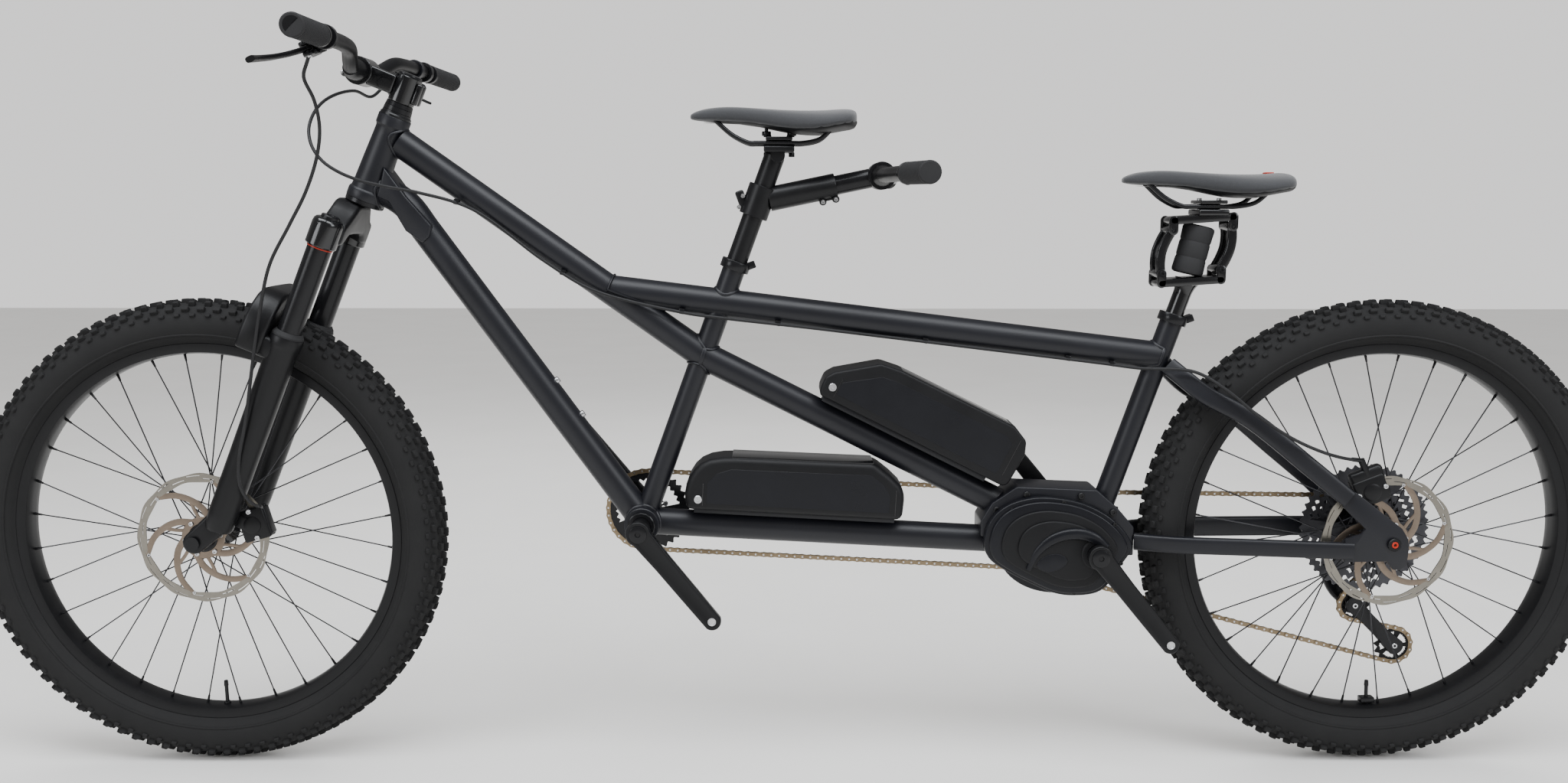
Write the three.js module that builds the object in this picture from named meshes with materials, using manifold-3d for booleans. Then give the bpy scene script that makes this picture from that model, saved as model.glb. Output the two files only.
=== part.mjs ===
// A tandem mountain bicycle: two saddles, two cranksets, a mid motor and two battery packs.
// Millimetres, +Z up. The front wheel is towards -X, the chains are on the right side, +Y.
// The origin is on the ground, midway between the axles.
import * as THREE from 'three';
import { mergeVertices } from 'three/addons/utils/BufferGeometryUtils.js';
import Module from 'manifold-3d';

const wasm = await Module();
wasm.setup();

// ---------------------------------------------------------------- driving dimensions
const gap = 0.3; // clearance between touching pieces
const wheelBase = 1820;
const tyreRadius = 368;
const tyreWidth = 72;
const rimRadius = 282; // inner face of the rim
const rimWidth = 40;
const spokeCount = 32;
const spokeRadius = 1.1;

const headAngle = 67.7; // degrees, from the ground to the steering axis
const forkOffset = 44; // axle in front of the steering axis
const legForward = 19.4; // fork legs in front of the steering axis
const legSpread = 67; // fork leg to the middle plane
const stanchionRadius = 18;
const lowerLegRadius = 23;
const lowersTop = tyreRadius - 18; // up the steering axis, from the foot of the axle
const crownBottom = 496;
const forkTravel = 130;
const headTubeBottom = 576;
const headTubeLength = 133;
const steererRadius = 14.3;
const stemLength = 68.6;
const stemStack = 753; // bar clamp, up the steering axis
const barHalfWidth = 399;
const barRise = 31.5;
const barSweep = 29;
const barRadius = 11;
const gripLength = 130;
const gripRadius = 15.5;

const stayLength = 446.5; // stoker crank axle to rear axle, along the ground
const motorDrop = 19; // stoker crank axle below the wheel axles
const boomLength = 698.5; // between the crank axles, along the ground
const boomRise = 37; // captain crank axle above the stoker crank axle
const captainAngle = 70; // seat tube angles
const stokerAngle = 71.4;
const captainSeatTube = 434;
const stokerSeatTube = 384;
const seatTubeRadius = 17.45;
const mainTubeRadius = 22;
const downTubeRadius = 22.5;
const boomRadius = 21;
const wall = 2.4;
const mainTubeJoint = 278; // up the captain seat tube
const topTubeJoint = 364; // up the captain seat tube
const topTubeEnd = 314; // up the stoker seat tube
const mainTubeHead = 681; // up the steering axis
const downTubeHead = 604; // up the steering axis
const diagonalEndBack = 134.4; // diagonal's end, in front of the stoker crank axle
const diagonalEndUp = 62.34; // and above it

const captainPostRadius = 15.8;
const stokerPostRadius = 13.6;
const captainPostLength = 620; // crank axle to the saddle clamp, up the seat tube
const stokerPostLength = 432; // crank axle to the sprung head, up the seat tube
const saddleLength = 250;
const saddleWidth = 148;
const stokerStemHeight = 528; // up the captain seat tube
const stokerStemRise = 11.7; // degrees
const stokerBarReach = 190;
const stokerBarHalfWidth = 330;
const linkLength = 66.5;
const linkLean = 13;
const linkSpan = 90;

const crankLength = 175;
const crankSlope = -50.8; // left arms at rest
const crankInner = 80; // arm's inner face to the middle plane
const crankThickness = 14;
const spindleRadius = 14;
const chainPitch = 12.7;
const chainHeight = 8.6;
const chainWidth = 5;
const timingTeeth = 32;
const driveTeeth = 36;
const sprocketTeeth = 24;
const guideTeeth = 12;
const tensionTeeth = 14;
const timingLine = 72; // chain planes, from the middle plane
const driveLine = 44.5;
const toothThickness = 2.2;
const cassetteCogs = [50, 42, 36, 32, 28, 24, 21, 18, 16, 14, 12, 11];
const cogSpacing = 3.8;
const rotorRadius = 101.5;
const rotorThickness = 1.8;
const frontRotorPlane = -40;
const rearRotorPlane = -58;
const frontHubHalf = 55;
const rearHubHalf = 74;
const dropoutThickness = 6;
const batteryWidth = 74;
const motorHalfWidth = 34;
const coverReach = 62;
const hoseRadius = 2.5;

// ---------------------------------------------------------------- placed points
const radians = THREE.MathUtils.degToRad;
const vec = (x, y, z) => new THREE.Vector3(x, y, z);
const frontAxle = vec(-wheelBase / 2, 0, tyreRadius);
const rearAxle = vec(wheelBase / 2, 0, tyreRadius);
const stokerCrank = vec(rearAxle.x - stayLength, 0, tyreRadius - motorDrop);
const captainCrank = vec(stokerCrank.x - boomLength, 0, stokerCrank.z + boomRise);
const steerUp = vec(Math.cos(radians(headAngle)), 0, Math.sin(radians(headAngle)));
const steerBack = vec(steerUp.z, 0, -steerUp.x);
const steerFoot = frontAxle.clone().addScaledVector(steerBack, forkOffset);
const along = (origin, direction, distance) => origin.clone().addScaledVector(direction, distance);
const slope = (degrees) => vec(Math.cos(radians(degrees)), 0, Math.sin(radians(degrees)));
const captainUp = slope(captainAngle);
const stokerUp = slope(stokerAngle);
const mainJoint = along(captainCrank, captainUp, mainTubeJoint);
const diagonalEnd = stokerCrank.clone().add(vec(-diagonalEndBack, 0, diagonalEndUp));
const diagonalDown = diagonalEnd.clone().sub(mainJoint).normalize();
const diagonalUp = vec(-diagonalDown.z, 0, diagonalDown.x);
const boomBack = stokerCrank.clone().sub(captainCrank).normalize();
const boomUp = vec(-boomBack.z, 0, boomBack.x);
const topFront = along(captainCrank, captainUp, topTubeJoint);
const topRear = along(stokerCrank, stokerUp, topTubeEnd);
const pitchRadius = (teeth) => chainPitch / (2 * Math.sin(Math.PI / teeth));

// ---------------------------------------------------------------- solids
function solid(geometry) {
  const bare = new THREE.BufferGeometry();
  bare.setAttribute('position', geometry.getAttribute('position').clone());
  if (geometry.index) bare.setIndex(geometry.index.clone());
  const merged = mergeVertices(bare, 1e-3);
  const corners = merged.getAttribute('position');
  const index = merged.index.array;
  const triangles = [];
  let volume = 0;
  for (let i = 0; i < index.length; i += 3) {
    const [a, b, c] = [index[i], index[i + 1], index[i + 2]];
    if (a === b || b === c || c === a) continue;
    triangles.push(a, b, c);
    const [p, q, r] = [a, b, c].map((k) => vec(0, 0, 0).fromBufferAttribute(corners, k));
    volume += p.dot(q.cross(r));
  }
  if (volume < 0) triangles.reverse();
  const mesh = new wasm.Mesh({
    numProp: 3,
    vertProperties: Float32Array.from(corners.array),
    triVerts: Uint32Array.from(triangles),
  });
  return new wasm.Manifold(mesh);
}

const join = (pieces) => pieces.reduce((whole, piece) => whole.add(piece));
const cut = (body, tools) => tools.reduce((whole, tool) => whole.subtract(tool), body);

function rod(start, end, radius, sides = 10, endRadius = radius) {
  const direction = end.clone().sub(start);
  const geometry = new THREE.CylinderGeometry(endRadius, radius, direction.length(), sides);
  geometry.translate(0, direction.length() / 2, 0);
  geometry.applyQuaternion(new THREE.Quaternion().setFromUnitVectors(vec(0, 1, 0), direction.normalize()));
  geometry.translate(start.x, start.y, start.z);
  return solid(geometry);
}

function pipe(start, end, outer, inner, sides = 10) {
  const direction = end.clone().sub(start).normalize();
  return rod(start, end, outer, sides).subtract(rod(along(start, direction, -1), along(end, direction, 1), inner, sides));
}

// a cylinder across the bicycle
const barrel = (x, z, yLow, yHigh, radius, sides = 16) => rod(vec(x, yLow, z), vec(x, yHigh, z), radius, sides);

function block(center, size, tilt = 0) {
  const geometry = new THREE.BoxGeometry(size.x, size.y, size.z);
  geometry.rotateY(-radians(tilt));
  geometry.translate(center.x, center.y, center.z);
  return solid(geometry);
}

const asShape = (outline) => new THREE.Shape(outline.map(([a, b]) => new THREE.Vector2(a, b)));

// An outline in the X-Z plane, given thickness across the bicycle.
function slab(outline, yLow, yHigh, bevel = 0, windows = []) {
  const shape = asShape(outline);
  shape.holes = windows.map((window) => new THREE.Path(window.map(([a, b]) => new THREE.Vector2(a, b))));
  const geometry = new THREE.ExtrudeGeometry(shape, {
    depth: yHigh - yLow - 2 * bevel,
    bevelEnabled: bevel > 0,
    bevelThickness: bevel,
    bevelSize: bevel,
    bevelOffset: -bevel,
    bevelSegments: 1,
  });
  geometry.rotateX(Math.PI / 2);
  geometry.translate(0, yHigh - bevel, 0);
  return solid(geometry);
}

// an outline in the Y-Z plane, given thickness along X
function crossSlab(outline, xLow, xHigh) {
  const geometry = new THREE.ExtrudeGeometry(asShape(outline), { depth: xHigh - xLow, bevelEnabled: false });
  geometry.applyMatrix4(new THREE.Matrix4().makeBasis(vec(0, 1, 0), vec(0, 0, 1), vec(1, 0, 0)));
  geometry.translate(xLow, 0, 0);
  return solid(geometry);
}

// a closed profile of [radius, y] turned about a line across the bicycle
function turned(profile, segments = 32) {
  const ring = [...profile, profile[0]].map(([radius, y]) => new THREE.Vector2(radius, y));
  return solid(new THREE.LatheGeometry(ring, segments));
}

function ovalSection(width, depth, sides) {
  const points = [];
  for (let i = 0; i < sides; i += 1) {
    const turn = (2 * Math.PI * i) / sides;
    points.push(new THREE.Vector2((width / 2) * Math.cos(turn), (depth / 2) * Math.sin(turn)));
  }
  return new THREE.Shape(points);
}

function sweep(points, width, depth = width, steps = 12, sides = 8) {
  const path = new THREE.CatmullRomCurve3(points, false, 'centripetal');
  return solid(new THREE.ExtrudeGeometry(ovalSection(width, depth, sides), { steps, extrudePath: path }));
}

// The closed line of a belt around pulleys {x, z, r, turn}, stepped sideways by offset.
// turn is 1 where the pulley is inside the belt and -1 where it is outside.
function beltOutline(pulleys, offset = 0, step = 12) {
  const wheels = pulleys.map(({ x, z, r, turn = 1 }) => ({ x, z, reach: turn * r + offset }));
  const normals = wheels.map((from, i) => {
    const to = wheels[(i + 1) % wheels.length];
    const heading = Math.atan2(to.z - from.z, to.x - from.x);
    const distance = Math.hypot(to.x - from.x, to.z - from.z);
    return heading - Math.acos((from.reach - to.reach) / distance);
  });
  const outline = [];
  wheels.forEach((wheel, i) => {
    const start = normals[(i + wheels.length - 1) % wheels.length];
    let sweepAngle = normals[i] - start;
    const sense = pulleys[i].turn === -1 ? -1 : 1;
    while (sense * sweepAngle < 0) sweepAngle += sense * 2 * Math.PI;
    while (sense * sweepAngle > 2 * Math.PI) sweepAngle -= sense * 2 * Math.PI;
    const pieces = Math.max(1, Math.ceil(Math.abs(sweepAngle) / radians(step)));
    for (let k = 0; k <= pieces; k += 1) {
      const angle = start + (sweepAngle * k) / pieces;
      outline.push([wheel.x + wheel.reach * Math.cos(angle), wheel.z + wheel.reach * Math.sin(angle)]);
    }
  });
  return outline;
}

const circle = (x, z, r) => ({ x, z, r });
const capsule = (a, b) => beltOutline([a, b], 0, 30);

function smoothOutline(points, count) {
  const curve = new THREE.CatmullRomCurve3(points.map(([x, z]) => vec(x, 0, z)), true, 'centripetal');
  return curve.getPoints(count).slice(0, count).map((point) => [point.x, point.z]);
}

const bicycle = new THREE.Group();
const steering = new THREE.Group();
steering.position.copy(steerFoot);
steering.rotation.y = radians(90 - headAngle);
bicycle.add(steering);
const frontWheel = new THREE.Group();
frontWheel.position.set(-forkOffset, 0, 0);
frontWheel.rotation.y = -steering.rotation.y;
steering.add(frontWheel);
const rearWheel = new THREE.Group();
rearWheel.position.copy(rearAxle);
bicycle.add(rearWheel);

const paint = { color: 0x1b1b22, roughness: 0.45, metalness: 0.5 };
const gloss = { color: 0x0b0b0c, roughness: 0.15, metalness: 0.3 };
const plastic = { color: 0x17171a, roughness: 0.6, metalness: 0 };
const rubber = { color: 0x1c1c1e, roughness: 0.9, metalness: 0 };
const steel = { color: 0x8a7d6c, roughness: 0.4, metalness: 0.9 };
const chainGold = { color: 0x8b6a3a, roughness: 0.45, metalness: 0.9 };
const blackAlloy = { color: 0x161618, roughness: 0.4, metalness: 0.6 };
const elastomerGrey = { color: 0x2a2a2c, roughness: 0.85, metalness: 0 };

function add(group, name, body, finish) {
  const mesh = body.getMesh();
  const geometry = new THREE.BufferGeometry();
  geometry.setAttribute('position', new THREE.BufferAttribute(mesh.vertProperties, 3));
  geometry.setIndex(new THREE.BufferAttribute(mesh.triVerts, 1));
  const part = new THREE.Mesh(geometry, new THREE.MeshStandardMaterial(finish));
  part.name = name;
  group.add(part);
}

// ---------------------------------------------------------------- frame
const headTubeTop = headTubeBottom + headTubeLength;
const headPoint = (height) => along(steerFoot, steerUp, height);

function headTube() {
  const low = headTubeBottom;
  const top = headTubeTop;
  const outline = [[17, low], [29, low], [29, low + 14], [27, low + 17], [24, low + 62],
    [22, top - 17], [24.5, top - 14], [24.5, top], [17, top]];
  const ring = [...outline, outline[0]].map(([radius, y]) => new THREE.Vector2(radius, y));
  const geometry = new THREE.LatheGeometry(ring, 18);
  geometry.rotateX(Math.PI / 2);
  return solid(geometry);
}
add(steering, 'head_tube', headTube(), paint);

// the head tube's outer cone with clearance, for the tubes that butt against it
function headTubeClearance() {
  const cone = rod(headPoint(headTubeBottom - 20), headPoint(headTubeTop + 20), 32.5, 20, 23.5);
  return cone.add(rod(headPoint(headTubeTop - 18), headPoint(headTubeTop + 20), 24.5 + 2 * gap, 20));
}
const headSleeve = headTubeClearance();
const captainTubeSleeve = rod(captainCrank, along(captainCrank, captainUp, 470), seatTubeRadius + gap);
const stokerTubeSleeve = rod(along(stokerCrank, stokerUp, 40), along(stokerCrank, stokerUp, 470), seatTubeRadius + gap);

function tube(start, end, radius, sides = 10) {
  return pipe(start, end, radius, radius - wall, sides);
}

// battery seats, in [along the tube, above the tube's centre line]
const onTube = (origin, direction, up, outline) => outline.map(([u, v]) => {
  const point = along(along(origin, direction, u), up, v);
  return [point.x, point.z];
});
const railHeight = 7;
const upperSeat = mainTubeRadius + railHeight;
const lowerSeat = boomRadius + railHeight;
const upperStart = 186;
const upperEnd = 504;
const lowerStart = 68;
const lowerEnd = 402;

// the flat rail a battery slides onto
function batteryRail(origin, direction, up, start, end, radius, seat) {
  const outline = [[start, radius - 2], [end, radius - 2], [end, seat], [start, seat]];
  return slab(onTube(origin, direction, up, outline), -13, 13);
}

const mainHead = headPoint(mainTubeHead);
const mainDirection = mainJoint.clone().sub(mainHead).normalize();

function mainTube() {
  const bendOuter = rod(along(mainJoint, mainDirection, -8), mainJoint, mainTubeRadius);
  const outer = join([
    rod(mainHead, along(mainJoint, mainDirection, 5), mainTubeRadius),
    rod(along(mainJoint, diagonalDown, -5), diagonalEnd, mainTubeRadius),
    bendOuter,
  ]);
  const inner = join([
    rod(mainHead, mainJoint, mainTubeRadius - wall),
    rod(mainJoint, along(diagonalEnd, diagonalDown, 2), mainTubeRadius - wall),
  ]);
  const rail = batteryRail(mainJoint, diagonalDown, diagonalUp, upperStart + 8, upperEnd - 26, mainTubeRadius, upperSeat);
  return cut(outer.add(rail), [inner, headSleeve, captainTubeSleeve]);
}
add(bicycle, 'main_tube', mainTube(), paint);

const mainTubeSleeve = join([
  rod(mainHead, along(mainJoint, mainDirection, 5), mainTubeRadius + gap),
  rod(along(mainJoint, diagonalDown, -5), along(diagonalEnd, diagonalDown, 1), mainTubeRadius + gap),
]);

// where two lines in the middle plane cross
function meeting(origin, direction, other, otherDirection) {
  const off = other.clone().sub(origin);
  const turn = direction.x * otherDirection.z - direction.z * otherDirection.x;
  return along(origin, direction, (off.x * otherDirection.z - off.z * otherDirection.x) / turn);
}

function topTube() {
  const direction = topRear.clone().sub(topFront).normalize();
  const start = meeting(mainHead, mainDirection, topFront, direction);
  const body = tube(start, topRear, mainTubeRadius);
  const beyond = rod(along(mainHead, mainDirection, 0), along(mainJoint, mainDirection, 60), mainTubeRadius + gap);
  const away = diagonalUp.clone().multiplyScalar(-170);
  const below = slab([[mainHead.x, mainHead.z], [mainHead.x + away.x, mainHead.z + away.z],
    [mainJoint.x + away.x, mainJoint.z + away.z], [mainJoint.x, mainJoint.z]], -40, 40);
  return cut(body, [beyond, below, captainTubeSleeve, stokerTubeSleeve]);
}
add(bicycle, 'rear_top_tube', topTube(), paint);

const shellRadius = 27;
const shellHalf = 36.5;
const shellSleeve = barrel(captainCrank.x, captainCrank.z, -60, 60, shellRadius + gap, 32);

function downTube() {
  const top = headPoint(downTubeHead);
  const bend = [top, along(top, slope(-33), 62), along(top, slope(-42), 108)];
  const run = captainCrank.clone().sub(bend[2]).normalize();
  const outerEnd = along(captainCrank, run, -10);
  const route = [bend[0], bend[1], bend[2], along(bend[2], run, 60), along(bend[2], run, 300), outerEnd];
  const outer = sweep(route, 2 * downTubeRadius, 2 * downTubeRadius, 9, 10);
  const inner = sweep(route, 2 * (downTubeRadius - wall), 2 * (downTubeRadius - wall), 9, 10);
  const low = headPoint(headTubeBottom + 4);
  const tip = along(bend[2], slope(-50), 12);
  const gusset = slab([[low.x + 8, low.z], [low.x + 40, low.z - 8], [tip.x - 34, tip.z + 8], [tip.x - 8, tip.z - 10],
    [tip.x + 4, tip.z], [tip.x + 8, tip.z + 18], [bend[1].x + 6, bend[1].z + 14], [top.x + 24, top.z + 26],
    [top.x, top.z]], -25.5, 25.5);
  return cut(outer.add(gusset), [inner, headSleeve, mainTubeSleeve, shellSleeve, captainTubeSleeve]);
}
add(bicycle, 'down_tube', downTube(), paint);

// the clamp ring at a seat tube's top, with its bolt lug at the rear
function seatClamp(foot, up, height) {
  const lug = along(along(foot, up, height - 9), slope(0), 24);
  return join([rod(along(foot, up, height - 16), along(foot, up, height - 2), 22.5), block(lug, vec(14, 16, 12), 20)]);
}

function captainTube() {
  const top = along(captainCrank, captainUp, captainSeatTube);
  const bore = rod(along(captainCrank, captainUp, 40), along(top, captainUp, 2), captainPostRadius + 0.7);
  const body = rod(captainCrank, top, seatTubeRadius).add(seatClamp(captainCrank, captainUp, captainSeatTube));
  const shell = barrel(captainCrank.x, captainCrank.z, -shellHalf, shellHalf, shellRadius, 32);
  return cut(body.add(shell), [bore, barrel(captainCrank.x, captainCrank.z, -60, 60, spindleRadius + 1, 24)]);
}
add(bicycle, 'captain_seat_tube', captainTube(), paint);

// motor outline and core, which the bracket wraps
const motorCenter = vec(stokerCrank.x - 56, 0, stokerCrank.z + 1);
function motorCore(grow = 0) {
  const outline = [];
  const reach = { x: 92 + grow, z: 72 + grow };
  for (let i = 0; i < 32; i += 1) {
    const turn = (2 * Math.PI * i) / 32;
    outline.push([motorCenter.x + reach.x * Math.cos(turn), motorCenter.z + reach.z * Math.sin(turn)]);
  }
  return slab(outline, -motorHalfWidth - grow, motorHalfWidth + grow);
}

function boomTube() {
  const end = along(stokerCrank, boomBack, -152);
  const outer = tube(captainCrank, end, boomRadius);
  const seatSleeve = rod(along(captainCrank, captainUp, 5), along(captainCrank, captainUp, 120), seatTubeRadius + gap);
  const downSleeve = rod(along(captainCrank, slope(125), 5), along(captainCrank, slope(125), 120), downTubeRadius + gap);
  const rail = batteryRail(captainCrank, boomBack, boomUp, lowerStart + 10, lowerEnd - 10, boomRadius, lowerSeat);
  return cut(outer.add(rail), [shellSleeve, seatSleeve, downSleeve]);
}
add(bicycle, 'boom_tube', boomTube(), paint);

function stokerTube() {
  const top = along(stokerCrank, stokerUp, stokerSeatTube);
  const low = along(stokerCrank, stokerUp, 72);
  const body = rod(low, top, seatTubeRadius).add(seatClamp(stokerCrank, stokerUp, stokerSeatTube));
  return body.subtract(rod(along(low, stokerUp, -2), along(top, stokerUp, 2), stokerPostRadius + 0.7));
}
add(bicycle, 'stoker_seat_tube', stokerTube(), paint);

const yokeRear = stokerCrank.x + 64;
function motorBracket() {
  const c = stokerCrank;
  const front = c.x - 174;
  const outline = [[front, c.z - 20], [front, c.z + 44], [front + 17, c.z + 72], [front + 55, c.z + 98],
    [c.x + 5, c.z + 93], [c.x + 36, c.z + 66], [yokeRear, c.z + 34], [yokeRear, c.z - 11],
    [c.x + 42, c.z - 11], [c.x + 20, c.z + 10], [front + 40, c.z - 20]];
  const body = slab(outline, -motorHalfWidth, motorHalfWidth, 2);
  const diagonalSleeve = rod(along(mainJoint, diagonalDown, 300), along(diagonalEnd, diagonalDown, 1), mainTubeRadius + gap);
  const boomSleeve = rod(along(stokerCrank, boomBack, -240), along(stokerCrank, boomBack, -151), boomRadius + gap);
  const seatSleeve = rod(along(stokerCrank, stokerUp, 71), along(stokerCrank, stokerUp, 200), seatTubeRadius + gap);
  const spindleSleeve = barrel(c.x, c.z, -60, 60, 24);
  return cut(body, [motorCore(0.5), diagonalSleeve, boomSleeve, seatSleeve, spindleSleeve]);
}
add(bicycle, 'motor_bracket', motorBracket(), paint);

// rear triangle: stays run from the yoke and the stoker seat tube to the dropout plates
const stayWidth = 14;
const plateInner = rearHubHalf + gap;
const plateMiddle = plateInner + dropoutThickness / 2;
const stayEnd = vec(rearAxle.x - 72, 0, rearAxle.z + 70);
const stayDown = slope(-39);
const stayAcross = slope(51);

function dropoutPlate(side) {
  const a = rearAxle;
  const high = along(along(stayEnd, stayDown, gap), stayAcross, 15);
  const low = along(along(stayEnd, stayDown, gap), stayAcross, -15);
  const outline = [[low.x, low.z], [high.x, high.z], [a.x - 6, a.z + 38], [a.x + 20, a.z + 17], [a.x + 24, a.z - 8],
    [a.x + 22, a.z - 36], [a.x + 2, a.z - 40], [a.x - 8, a.z - 27], [a.x - 74, a.z - 28], [a.x - 74, a.z + 8],
    [a.x - 50, a.z + 16]];
  const inner = side * plateInner;
  const outer = side * (plateInner + dropoutThickness);
  return slab(outline.reverse(), Math.min(inner, outer), Math.max(inner, outer));
}

function chainStays() {
  const sides = [-1, 1].map((side) => {
    const depth = side < 0 ? 26 : 32;
    const lift = side < 0 ? 0 : 2;
    const z = stokerCrank.z + 11 + lift;
    const route = [vec(yokeRear + 1.5, side * 31, z), vec(yokeRear + 20, side * 39, z), vec(yokeRear + 50, side * 49.5, z),
      vec(yokeRear + 90, side * 57, z), vec(rearAxle.x - 200, side * 65, z - 1), vec(rearAxle.x - 60, side * plateMiddle, z - 3)];
    return join([sweep(route, depth, stayWidth, 10, 8), dropoutPlate(side)]);
  });
  const axle = barrel(rearAxle.x, rearAxle.z, -plateInner - 9, plateInner + 9, 6);
  return join([...sides, axle]);
}
add(bicycle, 'chain_stays', chainStays(), paint);

function seatStays() {
  const start = along(stokerCrank, stokerUp, topTubeEnd - 8);
  const sides = [-1, 1].map((side) => {
    const route = [vec(start.x + 4, side * 14, start.z), vec(start.x + 30, side * 30, start.z - 20),
      vec(start.x + 62, side * 47, start.z - 46), vec(stayEnd.x - 150, side * 60, stayEnd.z + 120),
      vec(stayEnd.x - 60, side * 73, stayEnd.z + 48.6), vec(stayEnd.x, side * plateMiddle, stayEnd.z)];
    return sweep(route, stayWidth, 28, 10, 8);
  });
  const bridge = block(vec(start.x + 26, 0, start.z - 12), vec(16, 52, 24), -37);
  const topSleeve = rod(topFront, topRear, mainTubeRadius + gap);
  return cut(join([...sides, bridge]), [stokerTubeSleeve, topSleeve]);
}
add(bicycle, 'seat_stays', seatStays(), paint);

// ---------------------------------------------------------------- motor and batteries
function motor() {
  const c = stokerCrank;
  const rim = [[-171, 11], [-163, 46], [-138, 71], [-98, 84], [-54, 83], [-10, 72], [32, 46], [58, 8],
    [44, -20], [12, -63], [-32, -71], [-64, -66], [-96, -52], [-140, -29], [-163, -11]];
  const cover = smoothOutline(rim.map(([x, z]) => [c.x + x, c.z + z]), 20);
  const boss = smoothOutline(rim.map(([x, z]) => [c.x - 18 + 0.62 * x, c.z + 0.62 * z]), 14);
  const rightCover = smoothOutline(rim.map(([x, z]) => [c.x + 2 + 0.8 * x, c.z + 0.85 * z]), 14);
  const body = join([
    motorCore(),
    slab(cover.reverse(), -coverReach + 6, -motorHalfWidth - gap - 0.2, 4),
    slab(boss.reverse(), -coverReach - 4, -motorHalfWidth - 4, 5),
    slab(rightCover.reverse(), motorHalfWidth + gap + 0.2, 39.5, 1.5),
    block(vec(motorCenter.x, 0, c.z - 20), vec(120, 2 * motorHalfWidth + 6, 60)),
  ]);
  return body.subtract(barrel(c.x, c.z, -90, 60, spindleRadius + 1));
}
add(bicycle, 'motor', motor(), plastic);

function battery(origin, direction, up, outline) {
  return slab(onTube(origin, direction, up, outline), -batteryWidth / 2, batteryWidth / 2, 6);
}
const upperOutline = [[upperStart, upperSeat + gap], [upperEnd - 2, upperSeat + gap], [upperEnd + 6, 88],
  [upperEnd - 2, 108], [upperEnd - 30, 121], [280, 119.5], [248, 115], [upperStart + 2, 69], [upperStart - 6, 54]];
const lowerOutline = [[lowerStart, lowerSeat + gap], [lowerEnd, lowerSeat + gap], [lowerEnd + 2, 70],
  [380, 98], [354, 117], [126, 114], [lowerStart - 3, 61]];
add(bicycle, 'upper_battery', battery(mainJoint, diagonalDown, diagonalUp, upperOutline), plastic);
add(bicycle, 'lower_battery', battery(captainCrank, boomBack, boomUp, lowerOutline), plastic);

// ---------------------------------------------------------------- saddles and posts
const railSpread = 22;
const railRadius = 3.5;

// the saddle's rails pass over the clamp point; the pad sits above them
function saddle(clamp) {
  const nose = clamp.x - 0.535 * saddleLength;
  const outline = [];
  const half = saddleWidth / 2;
  const plan = [[0, 0], [0.02, 0.2], [0.1, 0.31], [0.4, 0.38], [0.62, 0.62], [0.8, 0.95], [0.92, 1], [0.99, 0.75], [1, 0]];
  plan.forEach(([u, w]) => outline.push([nose + u * saddleLength, w * half]));
  plan.slice(1, -1).reverse().forEach(([u, w]) => outline.push([nose + u * saddleLength, -w * half]));
  const shape = new THREE.ExtrudeGeometry(asShape(outline), {
    depth: 34, bevelEnabled: true, bevelThickness: 6, bevelSize: 6, bevelOffset: -6, bevelSegments: 1,
  });
  shape.translate(0, 0, clamp.z + 17);
  const profile = [[0, 34], [0.03, 45], [0.1, 52], [0.22, 55.5], [0.4, 53], [0.62, 48.5], [0.8, 48.5], [0.93, 51],
    [1, 46], [1, 24], [0.88, 20], [0.78, 13.5], [0.62, 15], [0.45, 24], [0.3, 30], [0.1, 32]];
  const side = slab(profile.map(([u, height]) => [nose + u * saddleLength, clamp.z + height]), -half - 1, half + 1);
  const rails = [-1, 1].map((side) => sweep([vec(nose + 38, side * 12, clamp.z + 34), vec(nose + 64, side * 17, clamp.z + 12),
    vec(nose + 90, side * railSpread, clamp.z), vec(nose + 98, side * railSpread, clamp.z),
    vec(nose + 158, side * railSpread, clamp.z), vec(nose + 167, side * railSpread, clamp.z),
    vec(nose + 195, side * (railSpread + 4), clamp.z + 6), vec(nose + 214, side * (railSpread + 8), clamp.z + 24)],
  2 * railRadius, 2 * railRadius, 9, 5));
  return join([side.intersect(solid(shape)), ...rails]);
}

// cradle below the rails and clamp plate above them, joined between the rails
function railClamp(clamp) {
  const seat = railRadius + gap;
  return join([
    block(vec(clamp.x, 0, clamp.z - seat - 5), vec(46, 58, 10)),
    block(vec(clamp.x, 0, clamp.z + seat + 3), vec(40, 56, 6)),
    block(vec(clamp.x, 0, clamp.z), vec(26, 26, 2 * seat + 2)),
  ]);
}

const captainClamp = along(captainCrank, captainUp, captainPostLength);
function captainPost() {
  const head = along(captainClamp, captainUp, -6);
  return join([
    rod(along(captainCrank, captainUp, 300), head, captainPostRadius),
    barrel(head.x, head.z - 12, -24, 24, 11),
    railClamp(captainClamp),
  ]);
}
add(bicycle, 'captain_seatpost', captainPost(), blackAlloy);
add(bicycle, 'captain_saddle', saddle(captainClamp), rubber);

// parallelogram post: two links carry the head above a base
const postTop = along(stokerCrank, stokerUp, stokerPostLength);
const linkUp = slope(90 - linkLean);
const lowerPivots = [vec(postTop.x - 44, 0, postTop.z + 16), vec(postTop.x - 44 + linkSpan, 0, postTop.z + 22)];
const upperPivots = lowerPivots.map((pivot) => along(pivot, linkUp, linkLength));
const linkEnd = 7;
const linkHalf = 20;
const elastomerRadius = 24;
const earInner = linkHalf + 0.5;
const earOuter = earInner + 5;
const pivotClear = (pivots) => pivots.map((pivot) => barrel(pivot.x, pivot.z, -linkHalf - 0.5, linkHalf + 0.5, linkEnd + 0.8, 12));

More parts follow.
